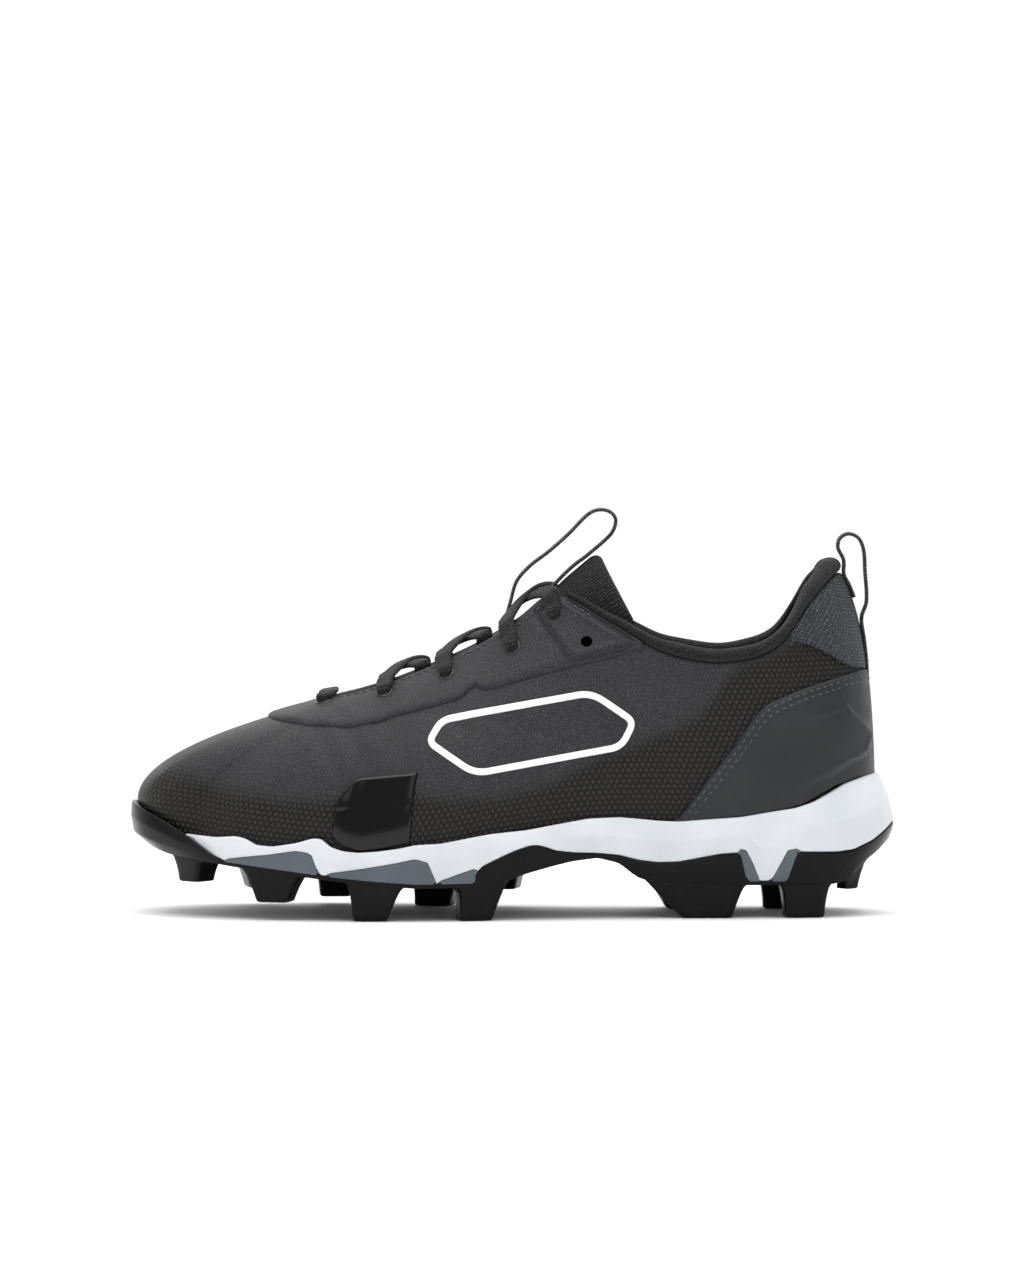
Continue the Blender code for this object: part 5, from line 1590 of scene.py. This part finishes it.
    def make_overlays(self) -> bpy.types.Object:
        """Eyestay, heel counter, heel tab and gloss patch; returns the eyestay."""
        upper_limit = OVERLAY_TOP - SEAT_BAND
        sides, u = self.span(EYESTAY_ENDS, True, self.toe_spacing)
        low = np.minimum(self.edge_shares(sides, u, EYESTAY_EDGE), upper_limit)
        eyestay = self.overlay("eyestay_cover", self.skin_finish, (sides, u), low,
                               EYESTAY_TOP, self.lift, (2.6 * MM, 1.0 * MM),
                               self.stay_panel, folds=True)
        sides, u = self.span(COUNTER_ENDS, False, self.heel_spacing)
        high = np.maximum(self.edge_shares(sides, u, COUNTER_EDGE), COUNTER_TUCK)
        self.overlay("heel_counter_cover", self.wardrobe.counter.build(), (sides, u),
                     -COUNTER_TUCK, high, self.counter_lift, (0.3 * MM, 0.9 * MM), self.lozenge,
                     nodes=["heel_counter"], slot="counter_film")
        sides, u = self.span(TAB_ENDS, False, self.heel_spacing)
        low = np.minimum(self.edge_shares(sides, u, TAB_EDGE), upper_limit) - TAB_TUCK
        self.overlay("heel_tab_cover", self.wardrobe.tab.build(), (sides, u), low, TAB_TOP,
                     TAB_LIFT, (0.8 * MM, 1.0 * MM), nodes=["heel_tab"], slot="grey_woven")
        u = np.linspace(PATCH_FROM, PATCH_TO, 70)
        sides = np.ones_like(u)
        high = np.maximum(self.edge_shares(sides, u, PATCH_TOP_EDGE), 2 * SEAT_BAND)
        self.overlay("side_patch_cover", self.wardrobe.gloss.build(), (sides, u), 0.0, high,
                     self.patch_lift, (0.9 * MM, 1.4 * MM), self.ridge,
                     nodes=["side_patch"], slot="patch_film")
        return eyestay

    @staticmethod
    def ridge(points: np.ndarray) -> np.ndarray:
        """Raised line along the gloss patch below its upper edge."""
        along, height = flat_mm(points)
        (x0, z0), (x1, z1) = PATCH_RIDGE
        middle = z0 + (along - x0) * (z1 - z0) / (x1 - x0)
        return 0.35 * MM * np.exp(-((height - middle) / 0.9)**2)

    def make_collar(self) -> None:
        """Padded knit roll along the top line, slimmer towards its front ends."""
        sides, u = self.span(COLLAR_BEGINS, False, self.roll_spacing)
        top = np.empty((len(u), 3))
        normal = np.zeros((len(u), 3))
        for side, chosen in halves(sides):
            top[chosen] = self.last.bare(side, u[chosen], 1.0)
            seat = np.clip(self.last.upper_value("seat", u[chosen]), 0, 1)
            normal[chosen, :2] = self.last.outline(side, seat)[1]
        slim = (COLLAR_SLIM + (1 - COLLAR_SLIM) * np.minimum((u - COLLAR_BEGINS) / 2, 1))[:, None]
        fuller_at_heel = 1.12 + 0.25 * smooth_step(12.0, 14.5, u)[:, None]
        uneven = 1 + 0.03 * np.sin(np.arange(len(u)) * 0.19)[:, None]
        slim = slim * fuller_at_heel
        wide, high = self.roll_wide * slim * uneven, self.roll_high * slim * uneven
        middle = top - normal * (wide - MM * slim)
        middle[:, 2:] += high - self.roll_sink
        out, rise = (wave[None, :, None] for wave in circle(28))
        ring = (middle[:, None] + normal[:, None] * out * wide[:, None]
                + UPWARD * rise * high[:, None])
        piece = loft("collar_roll", ring, self.wardrobe.knit.build(), ["collar"], "black_knit",
                     Shell.distances(ring)[..., ::-1])

    def eyelet_frames(self, count: int) -> Iterator[tuple[np.ndarray, np.ndarray, np.ndarray]]:
        """Middle, outward direction and circle of radius one for each eyelet."""
        across, along = (wave[:, None] for wave in circle(count))
        for eyelet in EYELETS:
            for side in Flank:
                w = eyelet_share(self.last, side, eyelet, 1.0)
                normal = self.last.normal(side, np.array(eyelet.u), w)
                first = unit(np.cross(normal, UPWARD))
                second = np.cross(normal, first)
                middle = self.last.skin(side, np.array(eyelet.u), w)
                yield middle, normal, across * first + along * second

    def cut_eyelets(self, pieces: Sequence[bpy.types.Object]) -> None:
        """Punch the lace holes through the shell and the eyestay; their cut walls are painted near
        black as shade.
        """
        tool = Shell()
        for middle, normal, ring in self.eyelet_frames(28):
            ring = middle + ring * self.hole_radius
            reach = normal * self.hole_reach
            tool.grid(np.stack([ring - reach, ring + reach]), wrap_columns=True, caps=True)
        mesh = bpy.data.meshes.new("punch")
        mesh.from_pydata(np.concatenate(tool.points).tolist(), [], tool.faces)
        # The cut walls inside each hole take this near-black finish as painted shade.
        mesh.materials.append(self.wardrobe.lip_and_hole_shade.build())
        punch = bpy.data.objects.new("punch", mesh)
        bpy.context.scene.collection.objects.link(punch)
        for piece in pieces:
            cut = piece.modifiers.new("holes", "BOOLEAN")
            cut.operation = "DIFFERENCE"
            cut.solver = "EXACT"
            cut.material_mode = "TRANSFER"
            cut.object = punch
            freeze(piece, cut)
        bpy.data.objects.remove(punch)

    def make_eyelet_lips(self) -> None:
        """Pressed lip round each eyelet."""
        shell = Shell()
        for middle, normal, ring in self.eyelet_frames(32):
            rings = [middle + (ring * radius + normal * height) * MM
                     for radius, height in LIP_SECTION]
            shell.grid(np.stack(rings), wrap_rows=True, wrap_columns=True)
        shell.build("eyelet_lips", [self.wardrobe.lip_and_hole_shade.build()])

    def path_on(self, side: Flank, edge: Sequence[tuple[float, float]], lift: float,
                inset_mm: float = 0.0) -> tuple[np.ndarray, np.ndarray]:
        """Points and outward directions along a line drawn in side view.

        Args:
            side: Side of the foot.
            edge: Places along (mm from the heel) and height (mm).
            lift: Height over the skin.
            inset_mm: How far the line is shifted down its own normal.

        Returns:
            Points and directions.
        """
        corners = np.asarray(edge, float)
        run = run_of(corners)
        fine = np.linspace(0, run[-1], max(int(run[-1] / 0.8), 4))
        line = np.stack([spline(run, corners[:, k], fine) for k in (0, 1)], axis=1)
        ahead = np.gradient(line, axis=0)
        across = unit(np.stack([ahead[:, 1], -ahead[:, 0]], axis=1))
        u, w = self.locate(side, line + across * inset_mm)
        points = self.last.skin(side, u, w, lift)
        return points, self.last.normal(side, u, w)

    def locate(self, side: Flank, places_mm: np.ndarray) -> tuple[np.ndarray, np.ndarray]:
        """Column and share of places drawn in side view, found by steps from a coarse grid."""
        end = len(COLUMNS) - 1
        grid_u, grid_w = np.meshgrid(np.linspace(0, end, 161), np.linspace(0, 1, 81),
                                     indexing="ij")
        near = self.last.bare(side, grid_u, grid_w)[..., [0, 2]].reshape(-1, 2)
        target = places_mm * MM - np.array([LENGTH / 2, 0.0])
        best = np.argmin(np.linalg.norm(near[None] - target[:, None], axis=2), axis=1)
        u, w = grid_u.reshape(-1)[best], grid_w.reshape(-1)[best]
        for _ in range(5):
            here = self.last.bare(side, u, w)[:, [0, 2]]
            step = 0.01
            by_u = (self.last.bare(side, u + step, w)[:, [0, 2]] - here) / step
            by_w = (self.last.bare(side, u, w + step)[:, [0, 2]] - here) / step
            off = target - here
            area = by_u[:, 0] * by_w[:, 1] - by_u[:, 1] * by_w[:, 0]
            area = np.where(np.abs(area) < 1e-9, 1e-9, area)
            move_u = (off[:, 0] * by_w[:, 1] - off[:, 1] * by_w[:, 0]) / area
            move_w = (by_u[:, 0] * off[:, 1] - by_u[:, 1] * off[:, 0]) / area
            u = np.clip(u + np.clip(move_u, -0.2, 0.2), 0, end)
            w = np.clip(w + np.clip(move_w, -0.05, 0.05), 0, 1)
        return u, w

    def make_stitches(self) -> None:
        """Rows of stitches along the counter and the eyestay."""
        rows = []
        for side in Flank:
            for inset_mm in COUNTER_SEAM_INSETS_MM:
                rows.append(self.path_on(side, COUNTER_SEAM, self.stitch_lift, inset_mm))
            u = np.linspace(*HEEL_SEAM, 60)
            for drop in HEEL_SEAM_DROPS:
                w = self.last.crossing(side, u, COUNTER_EDGE) - drop
                rows.append((self.last.skin(side, u, w, self.stitch_lift, folds=False),
                             self.last.normal(side, u, w)))
            u = np.linspace(*EYESTAY_SEAM, 300)
            w = np.array([eyelet_share(self.last, side, Eyelet(at, self.eyestay_seam), 1.0)
                          for at in u])
            rows.append((self.last.skin(side, u, w, self.lift + 0.1 * MM),
                         self.last.normal(side, u, w)))
        Stitches(self.wardrobe.thread.build()).build("upper_stitches", rows)

    def make_mark(self) -> None:
        """Plain raised outline of a long six-sided panel on the outer quarter."""
        turn = math.radians(MARK_TILT_DEG)
        spin = np.array([[math.cos(turn), -math.sin(turn)], [math.sin(turn), math.cos(turn)]])
        corners = np.array(MARK_CORNERS) @ spin.T + np.array(MARK_MIDDLE)
        rows = []
        for inset, raised in MARK_SECTION:
            u, w = self.locate(OUTER, self.inset_loop(corners, inset))
            rows.append(self.last.skin(OUTER, u, w, raised * MM))
        shell = Shell()
        shell.grid(np.stack(rows), wrap_rows=True, wrap_columns=True)
        shell.build("side_outline", [self.wardrobe.trim.build()])

    def inset_loop(self, corners: np.ndarray, inset: float) -> np.ndarray:
        """Closed line through rounded corners, moved inward by a distance."""
        def reach_at(before: np.ndarray, corner: np.ndarray, after: np.ndarray) -> float:
            """How far from a corner its rounding starts."""
            return min(self.mark_corner_mm, 0.38 * math.dist(corner, before),
                       0.38 * math.dist(corner, after))

        count = len(corners)
        made = []
        for i in range(count):
            here, back, ahead = corners[i], corners[i - 1], corners[(i + 1) % count]
            first, second = unit(back - here), unit(ahead - here)
            reach = reach_at(back, here, ahead)
            for t in np.linspace(0, 1, 9):
                made.append(here + first * reach * (1 - t)**2 + second * reach * t * t)
            rest = reach_at(here, ahead, corners[(i + 2) % count])
            end = ahead + unit(here - ahead) * rest
            start = here + second * reach
            for t in np.linspace(0, 1, 26)[1:-1]:
                made.append(start + (end - start) * t)
        line = np.array(made)
        run = np.roll(line, -1, 0) - np.roll(line, 1, 0)
        inward = unit(np.stack([run[:, 1], -run[:, 0]], axis=1))
        facing = np.sum((corners.mean(axis=0) - line) * inward)
        return line + inward * inset * (1 if facing > 0 else -1)

    def build(self) -> None:
        """Make every piece of the upper."""
        shell = self.make_shell()
        eyestay = self.make_overlays()
        self.cut_eyelets([shell, eyestay])
        for piece, node in ((shell, "upper"), (eyestay, "eyestay")):
            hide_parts(node)
        self.make_eyelet_lips()
        self.make_collar()
        self.make_stitches()
        self.make_mark()


@dataclass
class Stitches:
    """Thread stitches laid along lines by a node tree."""

    finish: bpy.types.Material
    length: float = 1.7 * MM
    gap: float = 0.9 * MM
    thread: float = 0.5 * MM
    seed: int = 4

    def tree(self) -> bpy.types.GeometryNodeTree:
        """Lines become evenly spaced stitches that lie flat on the skin."""
        tree = bpy.data.node_groups.new("stitch_rows", "GeometryNodeTree")
        face = tree.interface
        face.new_socket("Geometry", in_out="INPUT", socket_type="NodeSocketGeometry")
        for name in ("Spacing", "Stitch Length", "Thread"):
            face.new_socket(name, in_out="INPUT", socket_type="NodeSocketFloat")
        face.new_socket("Seed", in_out="INPUT", socket_type="NodeSocketInt")
        face.new_socket("Geometry", in_out="OUTPUT", socket_type="NodeSocketGeometry")
        given = add(tree, "NodeGroupInput")
        curve = add(tree, "GeometryNodeMeshToCurve", {0: given.outputs["Geometry"]})
        even = add(tree, "GeometryNodeResampleCurve", {"Curve": curve.outputs[0],
                                                       "Length": given.outputs["Spacing"]},
                   mode="LENGTH")
        outward = add(tree, "GeometryNodeInputNamedAttribute", {"Name": "outward"},
                      data_type="FLOAT_VECTOR")
        upright = add(tree, "FunctionNodeAlignRotationToVector",
                      {"Vector": outward.outputs[0]}, axis="Z")
        tangent = add(tree, "GeometryNodeInputTangent")
        laid = add(tree, "FunctionNodeAlignRotationToVector",
                   {"Rotation": upright.outputs[0], "Vector": tangent.outputs[0]},
                   axis="X", pivot_axis="Z")
        wander = add(tree, "FunctionNodeRandomValue", {"Min": (0.92, 0.9, 0.9),
                                                       "Max": (1.06, 1.1, 1.1),
                                                       "Seed": given.outputs["Seed"]},
                     data_type="FLOAT_VECTOR")
        ball = add(tree, "GeometryNodeMeshUVSphere", {"Segments": 8, "Rings": 6, "Radius": 0.5})
        size = add(tree, "ShaderNodeCombineXYZ", {0: given.outputs["Stitch Length"],
                                                  1: given.outputs["Thread"],
                                                  2: given.outputs["Thread"]})
        shaped = add(tree, "GeometryNodeTransform", {"Geometry": ball.outputs[0],
                                                     "Scale": size.outputs[0]})
        placed = add(tree, "GeometryNodeInstanceOnPoints", {
            "Points": even.outputs[0], "Instance": shaped.outputs[0],
            "Rotation": laid.outputs[0], "Scale": wander.outputs[0]})
        real = add(tree, "GeometryNodeRealizeInstances", {0: placed.outputs[0]})
        dressed = add(tree, "GeometryNodeSetMaterial", {"Geometry": real.outputs[0],
                                                        "Material": self.finish})
        add(tree, "NodeGroupOutput", {0: dressed.outputs[0]})
        return tree

    def build(self, name: str, rows: Sequence[tuple[np.ndarray, np.ndarray]]) -> None:
        """Lay stitches along lines.

        Args:
            name: The piece's name.
            rows: Points and outward directions of each line.
        """
        points, outward, edges = [], [], []
        for line, normals in rows:
            start = len(points)
            points += line.tolist()
            outward += normals.tolist()
            edges += [(start + k, start + k + 1) for k in range(len(line) - 1)]
        mesh = bpy.data.meshes.new(name)
        mesh.from_pydata(points, edges, [])
        mesh.attributes.new("outward", "FLOAT_VECTOR", "POINT").data.foreach_set(
            "vector", np.array(outward).reshape(-1))
        piece = bpy.data.objects.new(name, mesh)
        bpy.context.scene.collection.objects.link(piece)
        tree = self.tree()
        layer = piece.modifiers.new("stitches", "NODES")
        layer.node_group = tree
        values = {"Spacing": self.length + self.gap, "Stitch Length": self.length,
                  "Thread": self.thread, "Seed": self.seed}
        for item in tree.interface.items_tree:
            if item.item_type == "SOCKET" and item.name in values:
                layer[item.identifier] = values[item.name]
        freeze(piece, layer)
        piece.data.shade_smooth()
        settle(piece)


def eyelet_share(last: Last, side: Flank, eyelet: Eyelet, share: float) -> np.ndarray:
    """Share of the column at an eyelet, or part of the way to it from the throat's edge."""
    w = np.linspace(1, 0, 400)
    line = last.bare(side, np.full_like(w, eyelet.u), w)
    return np.interp(eyelet.setback * share, run_of(line), w)


def strap(route: Sequence[np.ndarray], lie: np.ndarray, widths: Sequence[float],
          thicknesses: Sequence[float], step: float = 0.7 * MM,
          points_around: int = 20) -> np.ndarray:
    """Flat rounded strap along a smooth route.

    Args:
        route: Points that it passes.
        lie: Direction that its width follows.
        widths: Width at each point.
        thicknesses: Thickness at each point.
        step: Distance between rings.
        points_around: Points in each ring.

    Returns:
        Rings of points.
    """
    route = np.array([np.asarray(p, float) for p in route])
    knots = run_of(route)
    fine = np.linspace(0, knots[-1], max(int(knots[-1] / step), 8))
    path = np.stack([spline(knots, route[:, k], fine) for k in range(3)], axis=1)
    ahead = unit(np.gradient(path, axis=0))
    across = unit(lie - ahead * (ahead @ lie)[:, None])
    thick = np.cross(across, ahead)
    width = np.interp(fine, knots, widths)[:, None, None]
    depth = np.interp(fine, knots, thicknesses)[:, None, None]
    wide, deep = circle(points_around)
    return (path[:, None] + across[:, None] * squared(wide, 0.55)[None, :, None] * width / 2
            + thick[:, None] * squared(deep, 0.75)[None, :, None] * depth / 2)


@dataclass
class Throat:
    """Tongue, pull loops and laces."""

    last: Last
    wardrobe: Wardrobe
    pad_edge: float = 2.4 * MM
    pad_swell: float = 2.1 * MM
    pad_side: float = 0.14
    pad_top: float = 0.35
    pad_close: float = 0.12
    quilt: float = 0.35 * MM
    quilt_from: float = 5.2
    lace_lift: float = 2.6 * MM
    lace_sink: float = 2.6 * MM
    tape_width: float = 7.6 * MM
    tape_thick: float = 1.2 * MM

    def tongue(self, v: np.ndarray, h: np.ndarray) -> np.ndarray:
        """Points on the tongue: v from its front end to its top, h from side to side."""
        v, h = np.broadcast_arrays(np.asarray(v, float), np.asarray(h, float))
        knots = np.arange(len(TONGUE_ROWS))
        value = {name: spline(knots, column_of(TONGUE_ROWS, name), v) for name in Fold._fields}
        turn = h * math.pi / 2
        fall = 1 - np.cos(turn)
        return np.stack([
            (value["along"] - 0.5) * LENGTH - value["sweep"] * UPPER_HEIGHT * fall,
            np.sin(turn) * value["half"] * COLLAR_WIDTH,
            value["height"] * UPPER_HEIGHT - value["drop"] * UPPER_HEIGHT * fall,
        ], axis=-1)

    def make_tongue(self) -> None:
        """Padded tongue, rounded at its edges and with quilted rolls under the laces."""
        end = len(TONGUE_ROWS) - 1
        v = np.linspace(0, end, 130)[:, None]
        h = np.linspace(-1, 1, 45)[None]
        face = self.tongue(v, h)
        ahead = self.tongue(np.minimum(v + 0.05, end), h) - self.tongue(
            np.maximum(v - 0.05, 0), h)
        inner = np.clip(h, -0.98, 0.98)
        sideways = self.tongue(v, inner + 0.02) - self.tongue(v, inner - 0.02)
        inward = unit(np.cross(sideways, ahead))
        inward *= np.where(inward[..., 2:] < 0, 1, -1)
        arch = 1 - h * h
        thick = self.pad_edge + self.pad_swell * arch
        past_side = (np.abs(h) - (1 - self.pad_side)).clip(0) / self.pad_side
        past_top = (v - end + self.pad_top).clip(0) / self.pad_top
        edge = np.sqrt(np.clip(1 - past_side**2, 0, 1))
        top = np.sqrt(np.clip(1 - past_top**2, 0, 1))
        close = self.pad_close + (1 - self.pad_close) * edge * top
        plump = self.quilt * (np.sin(v * 4.2) * (v > self.quilt_from)) * arch
        outer = face + inward * ((1 - close) * thick / 2 - plump * 0.5)[..., None]
        lower = face + inward * (thick - (1 - close) * thick / 2)[..., None]
        ring = np.concatenate([outer, lower[:, ::-1]], axis=1)
        piece = loft("tongue_pad", ring, self.wardrobe.knit.build(), ["tongue"], "black_knit",
                     Shell.distances(ring)[..., ::-1])

    def on_tongue(self, v: float) -> np.ndarray:
        """Point just over the middle of the tongue."""
        ahead = self.tongue(v + 0.1, 0) - self.tongue(v - 0.1, 0)
        upward = unit(np.array([-ahead[2], 0.0, ahead[0]]))
        upward = upward * (1 if upward[2] > 0 else -1)
        return self.tongue(v, 0) + upward * (2 * CLEARANCE + self.tape_thick / 2)

    def on_heel(self, w: float, tapes: float) -> np.ndarray:
        """Point behind the middle of the heel, over its overlays and a number of tapes."""
        lift = TAB_LIFT + (tapes + 0.5) * self.tape_thick
        heel = np.array(len(COLUMNS) - 1.0)
        return self.last.skin(OUTER, heel, np.array(w), lift, folds=False)

    def make_loops(self) -> None:
        """Ribbed tape loops on the tongue and at the heel."""
        def drawn(row: Edge) -> np.ndarray:
            """Point in the shoe's middle plane."""
            return np.array([(row.along - 0.5) * LENGTH, 0.0, row.height * UPPER_HEIGHT])

        finish = self.wardrobe.tape.build()
        tongue_route = [*(self.on_tongue(v) for v in TONGUE_LOOP_FRONT),
                        *(drawn(row) for row in TONGUE_LOOP),
                        *(self.on_tongue(v) for v in TONGUE_LOOP_REAR)]
        heel_route = [*(self.on_heel(*place) for place in HEEL_LOOP_OUTSIDE),
                      *(drawn(row) for row in HEEL_LOOP),
                      *(self.on_heel(*place) for place in HEEL_LOOP_INSIDE)]
        for node, slot, route in (("tongue_loop", "black_knit", tongue_route),
                                  ("heel_loop", "grey_woven", heel_route)):
            rings = strap(route, SIDEWAYS, [self.tape_width] * len(route),
                          [self.tape_thick] * len(route), 0.6 * MM, 24)
            loft(f"{node}_tape", rings, finish, [node], slot)

    def over(self, side: Flank, eyelet: Eyelet, share: float, lift: float) -> np.ndarray:
        """Point of a lace over the eyestay, part of the way from the edge to an eyelet."""
        w = eyelet_share(self.last, side, eyelet, share)
        return self.last.skin(side, np.array(eyelet.u), w, lift)

    def inside(self, side: Flank, u: float, lift: float) -> np.ndarray:
        """Point of a lace where it goes down inside the throat's edge."""
        edge = self.last.bare(side, np.array(u), np.array(1.0))
        return edge - SIDEWAYS * int(side) * self.lace_sink + UPWARD * lift

    def slope(self, u: float) -> np.ndarray:
        """Direction of the throat in side view."""
        run = (self.last.bare(OUTER, np.array(u - 0.3), np.array(1.0))
               - self.last.bare(OUTER, np.array(u + 0.3), np.array(1.0)))
        return unit(np.array([run[0], 0.0, run[2]]))

    def dive(self, side: Flank, eyelet: Eyelet) -> list[tuple[np.ndarray, float, float]]:
        """Route of a lace from inside an eyelet to the throat's edge, with widths and depths."""
        lift = self.lace_lift
        return [
            (self.over(side, eyelet, 1.02, -2.2 * MM), 3.2, 2.6),
            (self.over(side, eyelet, 1.06, 0.6 * MM), 3.4, 2.8),
            (self.over(side, eyelet, 0.98, lift * 0.95), 4.5, 2.6),
            (self.over(side, eyelet, 0.60, lift), 5.5, 2.0),
            (self.over(side, eyelet, 0.0, lift), 5.6, 1.8),
        ]

    def make_laces(self) -> None:
        """A bar at the front eyelets and crossings from each pair to the next."""
        finish = self.wardrobe.lace.build()
        front = EYELETS[0]
        bar = [*self.dive(OUTER, front), *self.dive(INNER, front)[::-1]]
        shell = Shell()
        self.lay(shell, bar, self.slope(front.u))
        shell.build("lace_bar_strap", [finish], ["lace_bar"], "black_knit")
        for number, (lower, higher) in enumerate(zip(EYELETS[1:4], EYELETS[2:5]), start=1):
            final = higher is EYELETS[4]
            between = lower.u + 0.60 * (higher.u - lower.u)
            shell = Shell()
            for side in Flank:
                start = self.dive(side, lower)
                far = Flank(-int(side))
                if final:
                    end = self.dive(far, higher)[::-1]
                else:
                    tip = self.inside(far, between, -1.0 * MM) - SIDEWAYS * int(far) * 0.8 * MM
                    end = [(self.inside(far, between, 2.4 * MM), 5.4, 1.8), (tip, 5.0, 1.8)]
                arch_mm = (3.2 if final else 1.6) + (0.9 if side == OUTER else -0.4)
                middle = (start[-1][0] + end[0][0]) / 2 + UPWARD * arch_mm * MM
                self.lay(shell, [*start, (middle, 5.7, 1.7), *end],
                         self.slope((lower.u + between) / 2))
            shell.build(f"lace_cross_{number}_straps", [finish], [f"lace_cross_{number}"],
                        "black_knit")

    def lay(self, shell: Shell, route: Sequence[tuple[np.ndarray, float, float]],
            lie: np.ndarray) -> None:
        """Add one lace strap to a piece."""
        points, widths, depths = zip(*route)
        rings = strap(points, lie, [w * MM for w in widths], [d * MM for d in depths],
                      0.55 * MM, 22)
        shell.grid(rings, wrap_columns=True, caps=True)

    def build(self) -> None:
        """Make the tongue, its loop, the heel's loop and the laces."""
        self.make_tongue()
        self.make_loops()
        self.make_laces()


@dataclass
class Studio:
    """Pale floor, soft lights and the camera."""

    distance: float = 2.8
    elevation_deg: float = 2.3
    aim: tuple[float, float, float] = (0.0, 0.04, 0.0909)
    frame_width: float = 0.3305
    sensor_mm: float = 36.0
    target: tuple[float, float, float] = (0.0, 0.0, 0.06)
    lamps: tuple = (
        ("overhead", (0.0, 0.15, 1.1), 1.3, 15.0), ("near_side", (-0.5, 1.5, 0.9), 1.2, 4.5),
        ("toe_side", (1.3, 0.6, 0.6), 0.8, 2.0), ("far_side", (0.2, -1.3, 0.9), 1.2, 5.0),
    )

    def make_floor(self) -> None:
        """Pale paper floor with a faint grain."""
        mesh = bpy.data.meshes.new("studio_floor")
        mesh.from_pydata([(-0.9, -0.5, 0), (0.9, -0.5, 0), (0.9, 1.3, 0), (-0.9, 1.3, 0)], [],
                         [(0, 1, 2, 3)])
        floor = bpy.data.objects.new("studio_floor", mesh)
        paper = Moulded("studio_paper", "#f4f4f4", "#fafafa", 0.9, grain_mm=30.0, depth_mm=0.001)
        mesh.materials.append(paper.build())
        bpy.context.scene.collection.objects.link(floor)

    def light(self, name: str, place: tuple[float, float, float], size: float,
              power: float) -> None:
        """Add a large soft light that faces the shoe."""
        data = bpy.data.lights.new(name, "AREA")
        data.shape = "SQUARE"
        data.size = size
        data.energy = power
        lamp = bpy.data.objects.new(name, data)
        lamp.location = place
        toward = Vector(self.target) - Vector(place)
        lamp.rotation_euler = toward.to_track_quat("-Z", "Y").to_euler()
        bpy.context.scene.collection.objects.link(lamp)

    def make_camera(self) -> None:
        """Camera on the outer side, a little over the floor."""
        data = bpy.data.cameras.new("view")
        data.sensor_fit = "HORIZONTAL"
        data.sensor_width = self.sensor_mm
        data.lens = self.sensor_mm * self.distance / self.frame_width
        data.clip_end = 50
        data.clip_start = 0.05
        camera = bpy.data.objects.new("view", data)
        tilt = math.radians(self.elevation_deg)
        away = Vector((0, math.cos(tilt), math.sin(tilt)))
        camera.location = Vector(self.aim) + away * self.distance
        camera.rotation_euler = (-away).to_track_quat("-Z", "Y").to_euler()
        bpy.context.scene.collection.objects.link(camera)
        bpy.context.scene.camera = camera

    def make_world(self) -> None:
        """Pale room: bright behind the shoe, dimmer on the side that its outer flank mirrors."""
        world = bpy.data.worlds.new("studio_world")
        world.use_nodes = True
        tree = world.node_tree
        back = tree.nodes["Background"]
        back.inputs["Color"].default_value = (1.0, 1.0, 1.0, 1.0)
        toward = add(tree, "ShaderNodeTexCoord").outputs["Generated"]
        parts = add(tree, "ShaderNodeSeparateXYZ", {0: toward})
        tree.links.new(spread(tree, parts.outputs[1], -0.6, 0.5, 1.05, 0.45),
                       back.inputs["Strength"])
        bpy.context.scene.world = world
        bpy.context.scene.view_settings.view_transform = "Standard"

    def build(self) -> None:
        """Set up the studio."""
        self.make_floor()
        for name, place, size, power in self.lamps:
            self.light(name, place, size, power)
        self.make_world()
        self.make_camera()


def main() -> None:
    """Build the shoe and its studio."""
    logging.basicConfig(level=logging.INFO, format="%(message)s")
    wardrobe = Wardrobe()
    last = Last()
    Sole(last, wardrobe).build()
    Upper(last, wardrobe).build()
    Throat(last, wardrobe).build()
    Studio().build()


if __name__ == "__main__":
    main()
